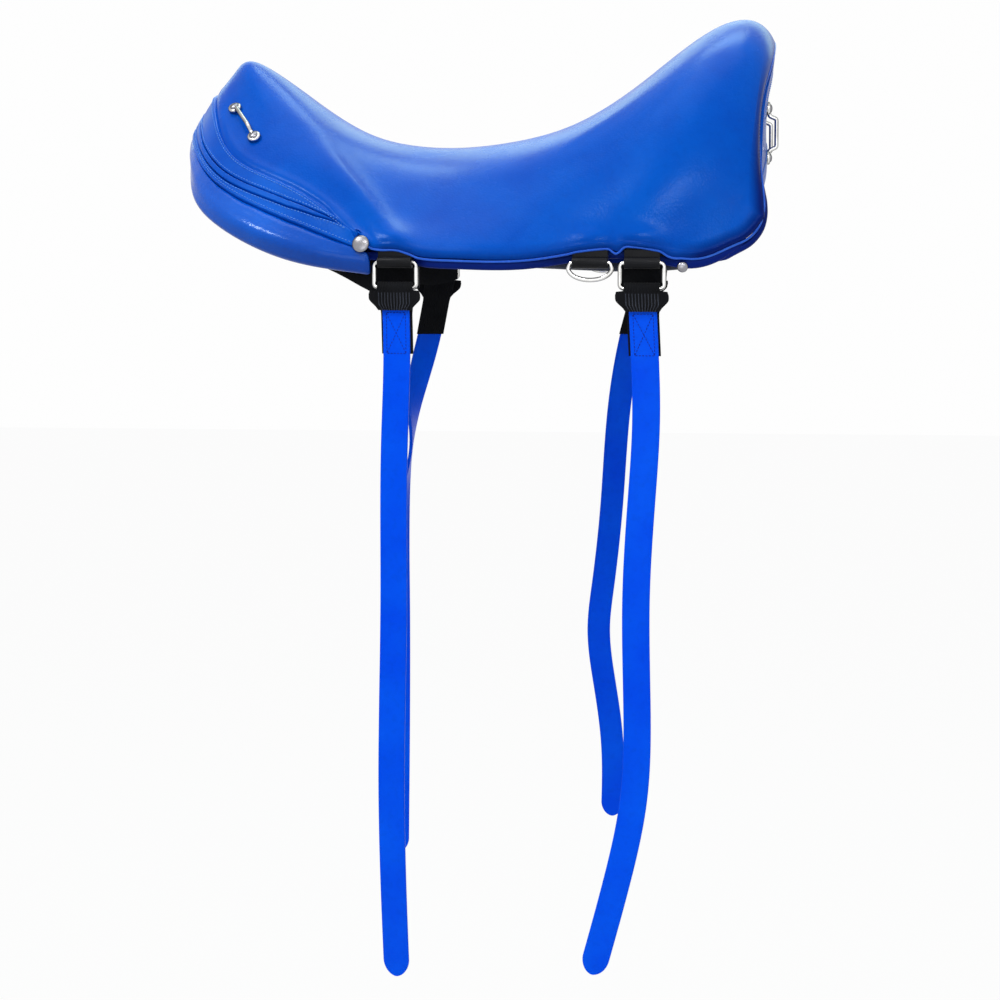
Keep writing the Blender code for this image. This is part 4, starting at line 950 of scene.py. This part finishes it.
def edge_path(side, count=420):
    """The joined line of skirt and rim on one side, up to the cantle's middle, with directions in."""
    ribs = np.linspace(4.0, 13.72, 150)
    skirt = rolled_edge(ribs, side, PIPING_RADIUS * 0.6, PIPING_RADIUS * 0.7)
    skirt[:, 2] += tab_lift(skirt[:, 0])
    shares = side * np.linspace(0.93, 0, 70)
    beyond = unit(outer([RIM], shares)[0] - outer([RIM - 0.05], shares)[0])
    rim_in = -outer_normals([RIM], shares)[0]
    rim = outer([RIM], shares)[0] + beyond * 1.2 * MM + rim_in * 1.05 * MM
    line = corner_bulge(np.concatenate([skirt, rim]))
    inwards = np.concatenate([-outer_normals(ribs, [0.97 * side])[:, 0], rim_in])
    line = line + inwards * (PIPING_FOLLOWS * roll_depth(line))[:, None]
    lengths = line_lengths(line)
    return resample(line, count), unit(read_line(lengths, inwards, np.linspace(0, lengths[-1], count)))


def pipings():
    middle = 372
    cord = circle(PIPING_RADIUS * 0.8, 12)
    ends = []
    for side, hand in BOTH:
        line, inwards = edge_path(side)
        piece = sweep(f"skirt_piping_line_{hand}", line[:middle + 1], cord, PIPING)
        dress(piece, "root", "piping", f"skirt_piping_{hand}")
        ends.append(line[middle:])
        # Each rear corner gets a dark tube below the rim: painted shade where the cover turns away.
        corner = int(np.argmin(np.abs(line[:, 0] - 198 * MM) + (line[:, 2] > -20 * MM)))
        part, part_in = line[corner:350], inwards[corner:350]
        out = unit(np.cross(np.gradient(part, axis=0), part_in) * side)
        t = np.linspace(0, 1, len(part))
        show = np.interp(t, (0, 0.06, 0.16, 0.26, 0.35, 0.5, 0.65, 0.8, 1),
                         (6.6, 7.2, 5.8, 4.4, 3.2, 2.6, 2.2, 1.4, 0.4)) * MM
        deep = np.interp(t, (0, 0.25, 1), (6.8, 4.2, 3.4)) * MM
        path = part + out * (show - 3.0 * MM)[:, None] + part_in * deep[:, None]
        taper = np.sqrt(np.clip(np.minimum(t / 0.05, (1 - t) / 0.08), 0.15, 1))
        shade_welt = sweep(f"rear_welt_{hand}", path, circle(3.0 * MM), RIM_DARK_AND_SHADE, scale=taper)
        dress(shade_welt, "root", "edge_leather")
    line = np.concatenate([ends[0], ends[1][::-1][1:]])
    dress(sweep("rim_piping_line", line, cord, PIPING), "root", "piping", "cantle_piping")


def cantle_sheets(shares, steps=26):
    """Rear face and front face of the panel that closes the cantle."""
    wall_rib = np.array([TREE_REAR])
    wall = layer(wall_rib, shares, padding(wall_rib, shares) + TREE_GAP)[0]
    rim = outer([RIM], shares)[0]
    foam = layer([RIM], shares, padding(np.array([RIM]), shares))[0]
    gap = 0.35 * MM
    y = np.sign(shares) * np.minimum(np.abs(wall[:, 1]), np.abs(foam[:, 1]) - 2 * gap)
    order = np.argsort(wall[:, 1])
    wall_x = np.interp(y, wall[order, 1], wall[order, 0]) + gap
    top_z = np.minimum(rim[:, 2] - CANTLE_PANEL_DROP, foam[:, 2] - 2 * gap)
    foot_z = arch(wall_x, y) - LINING_THICKNESS
    tall = (top_z - foot_z) / (top_z - foot_z).max()
    face, back = [], []
    for w in np.linspace(0, 1, steps):
        height = top_z + (foot_z - top_z) * w
        rear = rim[:, 0] + (wall_x + 6.0 * MM - rim[:, 0]) * w - 4.0 * MM * math.sin(math.pi * w) * tall
        edge = 0.8 * MM * (math.exp(-(w / 0.04) ** 2) + math.exp(-((1 - w) / 0.04) ** 2))
        face.append(np.stack([rear - edge, y, height], axis=1))
        back.append(np.stack([wall_x, y, height], axis=1))
    return np.array(face), np.array(back)


def cantle_back():
    face, back = cantle_sheets(np.linspace(-CANTLE_SHARE, CANTLE_SHARE, 90))
    dress(sandwich("cantle_back", face, back, SEAT), "root", "seat_leather", "cantle_panel")
    rows = []
    for row in (4, -5):
        line = face[row, 3:-3]
        rows.append((line + np.array([0.25 * MM, 0, 0]), np.tile((1.0, 0.0, 0.0), (len(line), 1))))
    sew("cantle_stitching", rows, THREAD, "root", "seat_leather")


def cantle_face_point(y, z):
    face, back = cantle_sheets(np.linspace(-CANTLE_SHARE, CANTLE_SHARE, 61), 40)
    column = np.array([[np.interp(y, row[:, 1], row[:, i]) for i in range(3)] for row in face])
    return np.array([np.interp(-z, -column[:, 2], column[:, 0]), y, z])


def underside():
    """Lining of the channel and the dark turned edge of the skirt; their dark colour is partly painted shade.
    """
    ribs = np.linspace(TREE_FRONT + 0.25, TREE_REAR, 130)
    shares = np.linspace(-TREE_SHARE, TREE_SHARE, 70)
    top = layer(ribs, shares, padding(ribs, shares) + TREE_GAP)
    top[..., 2] = arch(top[..., 0], top[..., 1]) - 0.35 * MM
    under = top.copy()
    under[..., 2] -= LINING_THICKNESS
    level = np.where(ribs < 5, rolled_edge(5, 1)[0, 2], rolled_edge(ribs, 1)[:, 2])
    face = lip_inset(ribs)
    deep = LIP_INSET + LIP_WIDTH
    # each row of the rim: how far in from the skirt's edge, and how far down
    upper = [(face, LIP_TOP)] * 3
    upper += [(face + 2.5 * MM, LIP_TOP + 0.4 * MM)] * 2 + [(deep, LIP_TOP + 3.0 * MM)] * 2
    lower = ((face - 0.3 * MM, LIP_TOP + 0.6 * MM), (face - 0.5 * MM, 6.0 * MM),
             (face + 0.1 * MM, LIP_DROP - 0.9 * MM), (face + 1.2 * MM, LIP_DROP),
             (face + 2.8 * MM, LIP_DROP - 0.1 * MM), (deep, LIP_DROP - 0.8 * MM),
             (deep + 0.6 * MM, LIP_DROP - 2.2 * MM))

    def rim(side, inset, drop):
        line = rolled_edge(ribs, side, inset)
        turned = np.maximum(PIPING_FOLLOWS * roll_depth(line) - 2.1 * MM, 0)
        line -= sideways(ribs, side) * turned[:, None]
        line[:, 2] = level - drop
        return line

    def with_rims(sheet, profile):
        left, right = (np.stack([rim(side, inset, drop) for inset, drop in profile], axis=1)
                       for side in (-1, 1))
        return np.concatenate([left, sheet, right[:, ::-1]], axis=1)

    piece = sandwich("underside_lining", with_rims(top, upper), with_rims(under, lower), RIM_DARK_AND_SHADE)
    dress(piece, "root", "edge_leather", "underside_cover")


def pads():
    """Felt panels that bear on the horse's back, each rounded at its lower edges."""
    table = np.array(ARCH, float) * MM
    xs = (10 - 208 * np.cos(np.linspace(0, math.pi, 60))) * MM
    turn = np.linspace(0, 1, 26)
    width = spline(table[:, 0], table[:, 2], xs) - 15 * MM - PAD_CHANNEL
    to_end = np.minimum(xs - xs[0], xs[-1] - xs)
    corner = PAD_CORNER - np.sqrt(PAD_CORNER ** 2 - (PAD_CORNER - np.minimum(to_end, PAD_CORNER)) ** 2)
    corner = np.minimum(corner, PAD_CORNER_SHARE * width)[:, None]
    y = PAD_CHANNEL + corner + (width[:, None] - 2 * corner) * turn[None]
    x = np.repeat(xs[:, None], len(turn), axis=1)
    top_z = arch(x, y) - LINING_THICKNESS - 1.6 * MM
    under_z = bearing(x, y)
    edge = np.minimum(np.minimum(turn, 1 - turn)[None] * (y[:, -1:] - y[:, :1]), to_end[:, None])
    lift = 6.0 * MM * (1 - np.sqrt(np.clip(1 - (1 - np.clip(edge / (8 * MM), 0, 1)) ** 2, 0, 1)))
    under_z = under_z + np.minimum(lift, np.maximum(top_z - under_z, 2 * MM) * 0.8)
    for side, hand in BOTH:
        under = np.stack([x, side * y, under_z], axis=-1)
        piece = sandwich(f"bearing_pad_{hand}", np.stack([x, side * y, top_z], axis=-1), under, FELT)
        smooth = piece.modifiers.new("smooth", "SUBSURF")
        smooth.levels = smooth.render_levels = 1
        dress(piece, "root", "felt", f"panel_{hand}")
        rows = []
        for c in (2, -3):
            line = under[3:-3, c]
            normals = np.tile((0.0, -0.45 * side, -0.9), (len(line), 1))
            rows.append((line + np.array([0, 0, -0.1 * MM]), normals))
        sew(f"pad_stitching_{hand}", rows, DARK_THREAD, "root", "felt", 5 * MM, 3.8 * MM)


# ---------------------------------------------------------------- rigging

def tab_piece(name, x, side):
    """Webbing folded over a ring's upper bar, made as an extruded outline with a hole for the bar."""
    frame_at = bar_frame(x, side)
    outside = EYE + TAB_LEAF
    neck = 2 * TAB_LEAF - outside
    level = min(edge_place(x + share * TAB_WIDTH, side)[0][2] for share in (-0.5, -0.25, 0, 0.25, 0.5))
    top = level + 1.6 * MM - frame_at.translation.z
    outline = [(-outside, top), *arc((0, 0), outside, 180, 450, 28)[:-1], (neck, outside), (neck, top)]
    data = bpy.data.curves.new(name, "CURVE")
    data.dimensions = "2D"
    data.fill_mode = "BOTH"
    data.extrude = TAB_WIDTH / 2 - 0.4 * MM
    data.bevel_depth = 0.4 * MM
    data.bevel_resolution = 2
    for loop in (outline, arc((0, 0), EYE, 0, 360, 29)[:-1]):
        line = data.splines.new("POLY")
        line.points.add(len(loop) - 1)
        for point, place in zip(line.points, loop):
            point.co = (place[0], place[1], 0.0, 1.0)
        line.use_cyclic_u = True
    holder = linked(name + "_curve", data)
    mesh = bpy.data.meshes.new_from_object(holder.evaluated_get(bpy.context.evaluated_depsgraph_get()))
    bpy.data.objects.remove(holder, do_unlink=True)
    mesh.transform(Matrix(((0, 0, 1, 0), (1, 0, 0, 0), (0, 1, 0, 0), (0, 0, 0, 1))))
    mesh.transform(frame_at)
    finish_mesh(mesh, TAB, 40)
    dress(linked(name + "_fold", mesh), "root", "tab_webbing", name)
    height = outside + 0.6 * MM
    if height < top - 0.5 * MM:
        across = np.linspace(-TAB_WIDTH / 2 + 2.5 * MM, TAB_WIDTH / 2 - 2.5 * MM, 20)
        line = np.stack([across, np.full(20, neck + 0.05 * MM), np.full(20, height)], axis=1)
        rows = [(moved(line, frame_at), np.tile(axis_of(frame_at, 1), (20, 1)))]
        sew(name + "_stitching", rows, WEB, "root", "tab_webbing", 2.6 * MM, 1.9 * MM, 0.3 * MM)
    return frame_at


def wire_loop(name, line, frame_at, body):
    piece = sweep(name + "_wire", moved(line, frame_at), circle(WIRE_RADIUS, 18), CHROME, closed=True)
    dress(piece, body, "ring_steel", name)


def ring_piece(name, frame_at, body):
    half = RING_INNER_WIDTH / 2 + WIRE_RADIUS
    line = []
    for x, z, first in ((half, 0, 90), (half, -RING_DROP, 0), (-half, -RING_DROP, 270), (-half, 0, 180)):
        centre = (x - math.copysign(RING_CORNER, x), z + (RING_CORNER if z < 0 else -RING_CORNER))
        line += arc(centre, RING_CORNER, first, first - 90, 8)
    line = np.array([(x, 0, z) for x, z in line])
    full = []
    for a, b in zip(line, np.roll(line, -1, axis=0)):
        steps = max(int(np.linalg.norm(b - a) / (1.2 * MM)), 1)
        full += [a + (b - a) * k / steps for k in range(steps)]
    wire_loop(name, full, frame_at, body)


def d_ring_piece(name, frame_at, body):
    half = D_RING_WIDTH / 2
    line = [(half * share, 0, 0) for share in (-0.86, -0.4, 0, 0.4, 0.86)]
    line += [(half * math.cos(a), 0, -D_RING_DROP * math.sin(a) ** 0.7)
             for a in np.radians(np.linspace(12, 168, 33))]
    line = np.array(line + line[:1])
    lengths = line_lengths(line)
    line = read_line(lengths, line, np.linspace(0, lengths[-1], 121)[:-1])
    for _ in range(3):
        line = (np.roll(line, 1, axis=0) + 2 * line + np.roll(line, -1, axis=0)) / 4
    wire_loop(name, line, frame_at, body)


def web_piece(name, frame_at, lean, body):
    """Ribbed webbing folded over the lower bar, gathered in front, plain behind."""
    hinge = frame_at @ Matrix.Translation((0, 0, -RING_DROP))
    slot = STRAP_THICKNESS / 2 + 0.35 * MM
    thick = WEB_THICKNESS
    half_web = WEB_WIDTH / 2
    ribs = 13
    across = np.linspace(-1, 1, ribs * 8 + 1)
    rib_height = 0.34 * MM * np.abs(np.cos(across * math.pi * ribs / 2)) ** 0.7
    leaf = WEB_FRONT_LEAF + WEB_FRONT_EXTRA
    # each section: place out, place up, its normal out and up, half its width
    path = [(slot + thick, -leaf, 1, 0, half_web - 0.6 * MM)]
    for t in np.linspace(0.08, 1, 11):
        up = -leaf + (leaf - 2.5 * MM) * t
        spread = smooth_step(np.array(t / 0.62)) - 0.12 * smooth_step(np.array((t - 0.8) / 0.2))
        half = half_web + (WEB_TOP_WIDTH - WEB_WIDTH) / 2 * spread
        path.append((slot + thick + (EYE - slot) * t * 0.6, up, 1, 0, half))
    path.append((EYE + thick, -1.9 * MM, 1, 0, 14.8 * MM))
    for a in np.radians(np.linspace(0, 180, 15)):
        cosine, sine = math.cos(a), math.sin(a)
        path.append(((EYE + thick) * cosine, (EYE + thick) * sine, cosine, sine, half_web))
    for t in np.linspace(0.06, 1, 12):
        path.append((-EYE - thick + (EYE - slot) * min(t * 3, 1), -WEB_BACK_LEAF * t, -1, 0,
                     half_web - 1.3 * MM * smooth_step(np.array((t - 0.2) / 0.2))))

    def pull(up):
        return lean * min(up + EYE, 0.0)

    top, under = [], []
    for out, up, n_out, n_up, half in path:
        x = across * half + pull(up)
        lift = -0.3 * MM + rib_height
        top.append(np.stack([x, out + n_out * lift, up + n_up * lift], axis=1))
        inner = (np.full_like(x, out - n_out * thick), np.full_like(x, up - n_up * thick))
        under.append(np.stack([x, *inner], axis=1))
    piece = sandwich(name + "_fold", moved(top, hinge), moved(under, hinge), WEB, 70)
    dress(piece, body, "webbing", name)
    line_x = np.linspace(-half_web + 2 * MM, half_web - 2 * MM, 16)
    rows = []
    for up in (-leaf + 1.4 * MM, -leaf + 3.0 * MM):
        line = np.stack([line_x + lean * (up + EYE), np.full(16, slot + thick + 0.1 * MM),
                         np.full(16, up)], axis=1)
        rows.append((moved(line, hinge), np.tile(axis_of(hinge, 1), (16, 1))))
    sew(name + "_stitching", rows, WEB, body, "webbing", 2.2 * MM, 1.7 * MM, 0.3 * MM)
    cord = circle(0.42 * MM, 8)
    tubes = []
    for share in np.linspace(-0.72, 0.72, 11):
        line = [(share * min(half, 17.5 * MM) + pull(up), out - 0.02 * MM, up)
                for out, up, n_out, n_up, half in path[:11]]
        points = resample(moved(line, hinge), 18)
        tubes.append(points[:, None] + axis_of(hinge, 0) * cord[:, 0:1] + axis_of(hinge, 1) * cord[:, 1:2])
    faces = [face for i in range(len(tubes)) for face in tube_faces(18, 8, i * 144)]
    dress(new_object(name + "_ribs", tubes, faces, WEB_RIB, 60), body, "webbing")
    return hinge


def strap_centre(place, side, drops):
    """Middle line of a strap at distances below the ring's lower bar, and its twist."""
    lean, *path = STRAP_PATHS[place]
    table = np.array([(0, 0, 0, 0), (WEB_BACK_LEAF / MM, lean * WEB_BACK_LEAF / MM, 0, 0), *path], float)
    read = spline(table[:, 0], table[:, 1:], drops / MM)
    centre = np.stack([side * read[:, 0] * MM, read[:, 1] * MM, -drops], axis=1)
    return centre, np.radians(read[:, 2])


def strap_piece(name, place, side, hinge, body):
    last = STRAP_PATHS[place][-1][0] * MM
    drops = np.concatenate([np.linspace(STRAP_START, last - STRAP_TIP, 130),
                            last - STRAP_TIP * (1 - np.linspace(0.06, 1, 14) ** 0.8)])
    centre, twist = strap_centre(place, side, drops)
    along = unit(np.gradient(centre, axis=0))
    across = np.stack([np.cos(twist), np.sin(twist), np.zeros(len(twist))], axis=1)
    across = unit(across - along * (across * along).sum(axis=1, keepdims=True))
    thick = np.cross(along, across)
    share = np.clip((drops - (last - STRAP_TIP)) / STRAP_TIP, 0, 1)
    half = STRAP_WIDTH / 2 * np.maximum(np.sqrt(1 - share ** 1.8), 0.12)
    flat = np.array([0.2, 0.5, 0.74, 0.8, 0.84, 0.88, 0.93, 0.975, 1])
    flat = np.concatenate([-flat[::-1], [0], flat])
    edge = 1 - np.abs(flat)
    crown = -0.75 * MM + 0.75 * MM * np.sqrt(np.clip(edge / 0.07, 0, 1))
    crown -= 0.32 * MM * np.exp(-((edge - 0.155) / 0.022) ** 2)
    crown += 0.10 * MM * (1 - flat ** 2)
    half_thick = STRAP_THICKNESS / 2
    middle = centre[:, None] + across[:, None] * (flat[None, :, None] * half[:, None, None])
    top = middle + thick[:, None] * (half_thick + crown)[None, :, None]
    under = middle - thick[:, None] * (half_thick + crown * 0.6)[None, :, None]
    piece = sandwich(name + "_leather", moved(top, hinge), moved(under, hinge), STRAP)
    dress(piece, body, "strap_leather", name)
    # the boxed cross that sews strap and webbing together
    first, final = WEB_FRONT_LEAF + 4.5 * MM, WEB_FRONT_LEAF + 37 * MM
    reach = 7.9 * MM
    corners = ((-reach, first), (reach, first), (reach, final), (-reach, final))
    rows = []
    t = np.linspace(0, 1, 24)
    for start, stop in ((0, 1), (1, 2), (2, 3), (3, 0), (0, 2), (1, 3)):
        (x0, d0), (x1, d1) = corners[start], corners[stop]
        line, _ = strap_centre(place, side, d0 + (d1 - d0) * t)
        line = line + np.stack([x0 + (x1 - x0) * t, np.full(24, half_thick + 0.02 * MM),
                                np.zeros(24)], axis=1)
        rows.append((moved(line, hinge), np.tile(axis_of(hinge, 1), (24, 1))))
    sew(name + "_stitching", rows, DARK_THREAD, body, "strap_leather", 2.6 * MM, 2.1 * MM, 0.3 * MM)


def guard_piece(name, side, outline):
    """Black webbing that hangs behind a ring."""
    table = np.array(outline, float)
    xs = np.linspace(table[0, 0], table[-1, 0], 60)
    down = np.linspace(0, 1, 14)
    shares = np.array([side * TREE_SHARE])
    faces = ([], [])
    for x, low in zip(xs * MM, np.interp(xs, table[:, 0], table[:, 1])):
        edge, out, rib = edge_place(x, side)
        edge = edge + np.array([-out[1], out[0], 0]) * (edge[0] - x) / out[1]
        lining = layer([rib], shares, padding([rib], shares) + TREE_GAP)[0, 0]
        inset = max(LIP_INSET + LIP_WIDTH, (edge - lining) @ out) + 0.4 * MM
        for face, depth, bevel in zip(faces, (inset, inset + WEB_THICKNESS), (0.45 * MM, -0.45 * MM)):
            place = edge - out * depth
            ceiling = arch(place[0], place[1]) - LINING_THICKNESS + 0.3 * MM
            foot = low * MM - ARCH_HEIGHT
            rounding = bevel * np.clip((down - 0.9) / 0.1, 0, 1) ** 2
            face.append([np.array([place[0], place[1], ceiling + (foot - ceiling) * d]) - out * r
                         for d, r in zip(down, rounding)])
    piece = sandwich(name + "_web", np.array(faces[0]), np.array(faces[1]), WEB)
    dress(piece, "root", "webbing", name)


def rigging():
    for end in ("front", "rear"):
        for side, hand in BOTH:
            place = f"{end}_{hand}"
            at = tab_piece(f"rigging_tab_{place}", RING_X[end], side)
            ring_piece(f"rigging_ring_{place}", at, f"ring_{place}")
            hinge = web_piece(f"webbing_{place}", at, -side * STRAP_PATHS[place][0], f"girth_strap_{place}")
            strap_piece(f"strap_{place}", place, side, hinge, f"girth_strap_{place}")
            guard_piece(f"web_guard_{place}", side, GUARDS[end])
    for side, hand in BOTH:
        at = tab_piece(f"d_ring_tab_{hand}", D_RING_X, side)
        d_ring_piece(f"d_ring_{hand}", at, f"dee_{hand}")


# ---------------------------------------------------------------- fittings

def dome(radius, height):
    profile = [(0.02 * radius, height)]
    for a in np.radians(np.linspace(88, 12, 12)):
        profile.append((radius * math.cos(a) * 0.985, height * (0.18 + 0.82 * math.sin(a))))
    return profile + [(radius, 0.16 * height), (radius, 0.05 * height), (radius * 0.97, 0.0)]


def rivet(hand, end, profile, place, normal):
    piece = turned_piece(f"{end}_rivet_head_{hand}", profile, normal_matrix(place, normal, (0, 0, 1)), STEEL)
    dress(piece, "root", "rivet_steel", f"{end}_rivet_{hand}")


def fittings():
    for side, hand in BOTH:
        place = outer([FRONT_RIVET[0]], [side * FRONT_RIVET[1]])[0, 0] + np.array(FRONT_RIVET_SHIFT)
        normal = outer_normals([FRONT_RIVET[0]], [side * FRONT_RIVET[1]])[0, 0]
        head = dome(7.0 * MM, 2.8 * MM) + [(5.5 * MM, 0), (5.5 * MM, -3.2 * MM)]
        rivet(hand, "front", head, place + normal * 2.0 * MM, normal)
        edge, out, rib = edge_place(REAR_RIVET_X, side)
        seated = edge - out * (lip_inset([rib])[0, 0] - 0.5 * MM)
        seated[2] -= 8.0 * MM
        rivet(hand, "rear", dome(4.3 * MM, 2.6 * MM), seated, out)
        feet = [(outer([rib], [side * share])[0, 0], outer_normals([rib], [side * share])[0, 0])
                for rib, share in FRONT_LOOP_FEET]
        footman_loop(f"front_loop_{hand}", *feet)
        low, high = (cantle_face_point(side * REAR_LOOP_Y, height - ARCH_HEIGHT)
                     for height in REAR_LOOP_HEIGHTS)
        normal = unit(np.cross(high - low, (0, -1, 0)))
        footman_loop(f"rear_loop_{hand}", (low, normal), (high, normal))


def rounded_line(corners, reach, steps=7):
    """Straight runs between corners, each corner rounded off within the reach."""
    line = [corners[0]]
    for before, here, after in zip(corners, corners[1:], corners[2:]):
        first, last = (here + unit(other - here) * min(reach, np.linalg.norm(other - here) / 2)
                       for other in (before, after))
        for t in np.linspace(0, 1, steps):
            line.append(first * (1 - t) ** 2 + here * 2 * t * (1 - t) + last * t ** 2)
    return np.array(line + [corners[-1]])


def footman_loop(name, *feet):
    """A low wire loop with an eyelet and a screw at each foot, which is a place and its normal."""
    eyelet_radius, eyelet_hole, thick, wire, standoff = (v * MM for v in (5.6, 2.4, 2.0, 1.75, 9.0))
    head_radius, head_height = 3.6 * MM, 1.8 * MM
    lifted = [(Vector(place) + Vector(normal) * 0.4 * MM, Vector(normal)) for place, normal in feet]
    (first, first_normal), (second, second_normal) = lifted
    towards = (second - first).normalized()
    middle = (first_normal + second_normal).normalized()
    near = head_radius + 0.35 * MM + wire
    ends = []
    for foot, normal, ahead in ((first, first_normal, towards), (second, second_normal, -towards)):
        ends.append([foot + ahead * (near - 2.6 * MM) + normal * (thick / 2),
                     foot + ahead * (near + 0.6 * MM) + normal * (thick / 2 + 0.5 * MM),
                     foot + ahead * (near + 3.0 * MM) + middle * (standoff - wire)])
    line = rounded_line([np.array(point) for point in ends[0] + ends[1][::-1]], 1.6 * MM)
    dress(sweep(name + "_bar", line, circle(wire), CHROME), "root", "ring_steel", name)
    eyelet = [(eyelet_hole, thick * 0.9), (eyelet_hole + 0.5 * MM, thick), (eyelet_radius - 1.0 * MM, thick),
              (eyelet_radius - 0.3 * MM, thick * 0.8), (eyelet_radius, thick * 0.4), (eyelet_radius, 0),
              (eyelet_hole, 0)]
    seat = thick + 0.1 * MM
    screw = [(0.02 * head_radius, seat + head_height)]
    screw += [(head_radius * math.cos(a), seat + head_height * math.sin(a))
              for a in np.radians(np.linspace(86, 5, 9))]
    screw += [(head_radius, seat), (2.0 * MM, seat), (2.0 * MM, 0)]
    for number, (at, normal) in enumerate(lifted, 1):
        matrix = normal_matrix(at, normal, towards)
        washer = turned_piece(f"{name}_eyelet_{number}", eyelet, matrix, CHROME, 40, ring=True)
        dress(washer, "root", "ring_steel")
        head = turned_piece(f"{name}_screw_head_{number}", screw, matrix, STEEL, 32)
        dress(head, "root", "rivet_steel", f"{name}_screw_{number}")


# ---------------------------------------------------------------- stage

# name, place, aim, width, height, power in watts, colour
LAMPS = (
    ("overhead", (-0.1, 0.1, 2.0), (0, 0, 0), 1.5, 1.2, 9, (1, 1, 1)),
    ("top_gloss", (0.08, 0.97, 1.72), (0, 0, 0.05), 0.95, 0.6, 11, (0.70, 1.0, 0.90)),
    ("behind", (0.0, 2.1, 1.2), (0, 0, 0.05), 4.0, 0.9, 17, (0.60, 1.0, 0.80)),
    ("front_left", (-1.0, -0.93, 1.48), (-0.16, 0, 0), 0.46, 0.32, 15, (1, 1, 1)),
    ("front_high", (0.25, -1.9, 1.45), (0, 0, -0.1), 0.6, 0.24, 11, (1, 1, 1)),
    ("front_fill", (0.1, -2.6, 0.1), (0, 0, -0.3), 1.6, 1.2, 8.5, (1, 1, 1)),
    ("front_right", (1.2, -2.1, 1.05), (0.2, 0, 0), 0.7, 0.5, 4.5, (1, 1, 1)),
)
PAPER = (0.99, 0.99, 0.99, 1)


def seen_directly(tree):
    """One for camera, glossy and transmission rays, which see white."""
    path = tree.nodes.new("ShaderNodeLightPath")
    value = path.outputs["Is Camera Ray"]
    for kind in ("Is Glossy Ray", "Is Transmission Ray"):
        larger = tree.nodes.new("ShaderNodeMath")
        larger.operation = "MAXIMUM"
        tree.links.new(value, larger.inputs[0])
        tree.links.new(path.outputs[kind], larger.inputs[1])
        value = larger.outputs[0]
    return value


def mixed(tree, factor, first, second, out):
    mix = tree.nodes.new("ShaderNodeMixShader")
    for number, socket in enumerate((factor, first, second)):
        tree.links.new(socket, mix.inputs[number])
    tree.links.new(mix.outputs[0], out.inputs["Surface"])


def sky_world(scene):
    """Soft light that grows with height, and white where it is seen."""
    world = bpy.data.worlds.new("studio")
    scene.world = world
    world.use_nodes = True
    tree = world.node_tree
    tree.nodes.clear()
    soft = tree.nodes.new("ShaderNodeBackground")
    soft.inputs["Color"].default_value = (0.93, 0.96, 1.0, 1)
    sky = tree.nodes.new("ShaderNodeTexCoord")
    split = tree.nodes.new("ShaderNodeSeparateXYZ")
    level = tree.nodes.new("ShaderNodeMapRange")
    for key, number in (("From Min", -0.7), ("From Max", 0.7), ("To Min", 0.06), ("To Max", 0.46)):
        level.inputs[key].default_value = number
    tree.links.new(sky.outputs["Generated"], split.inputs[0])
    tree.links.new(split.outputs["Z"], level.inputs["Value"])
    tree.links.new(level.outputs["Result"], soft.inputs["Strength"])
    white = tree.nodes.new("ShaderNodeBackground")
    white.inputs["Color"].default_value = PAPER
    out = tree.nodes.new("ShaderNodeOutputWorld")
    mixed(tree, seen_directly(tree), soft.outputs[0], white.outputs[0], out)


def floor_paper():
    """Pale floor that is almost white where it is seen and keeps the saddle's shadow."""
    paint = bpy.data.materials.new("floor_paper")
    paint.use_nodes = True
    tree = paint.node_tree
    shader = tree.nodes["Principled BSDF"]
    shader.inputs["Base Color"].default_value = (0.74, 0.74, 0.74, 1)
    shader.inputs["Roughness"].default_value = 0.9
    share = tree.nodes.new("ShaderNodeMath")
    share.operation = "MULTIPLY"
    share.inputs[1].default_value = 0.965
    tree.links.new(seen_directly(tree), share.inputs[0])
    glow = tree.nodes.new("ShaderNodeEmission")
    glow.inputs["Color"].default_value = PAPER
    mixed(tree, share.outputs[0], shader.outputs[0], glow.outputs[0], tree.nodes["Material Output"])
    return paint


def studio():
    scene = bpy.context.scene
    camera = bpy.data.cameras.new("camera")
    camera.lens = 72
    camera.sensor_width = 36
    camera.clip_end = 60
    yaw, pitch = math.radians(4.83), math.radians(7.69)
    ahead = Vector((-math.sin(yaw) * math.cos(pitch), math.cos(yaw) * math.cos(pitch), -math.sin(pitch)))
    across = ahead.cross(Vector((0, 0, 1))).normalized()
    eye = linked("camera", camera)
    eye.matrix_world = axes_matrix((0.164, -1.750, -0.038), across, across.cross(ahead), -ahead)
    scene.camera = eye
    sky_world(scene)
    for name, place, aim, width, height, power, colour in LAMPS:
        data = bpy.data.lights.new(name, "AREA")
        data.shape = "RECTANGLE"
        data.size, data.size_y = width, height
        data.energy = power
        data.color = colour
        lamp = linked(name, data)
        lamp.location = place
        lamp.rotation_euler = (Vector(aim) - Vector(place)).to_track_quat("-Z", "Y").to_euler()
    size, level = 9.0, -1.12
    mesh = bpy.data.meshes.new("floor")
    corners = [(x * size, y * size, level) for x, y in ((-1, -1), (1, -1), (1, 1), (-1, 1))]
    mesh.from_pydata(corners, [], [(0, 1, 2, 3)])
    mesh.materials.append(floor_paper())
    linked("floor", mesh)
    scene.view_settings.view_transform = "Standard"


def tree_finish():
    """The tree keeps its own solid and gets its finish."""
    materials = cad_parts["tree"].data.materials
    materials.clear()
    materials.append(TREE)


studio()
seat_skin()
front_roll()
trims()
pipings()
cantle_back()
underside()
pads()
rigging()
fittings()
tree_finish()
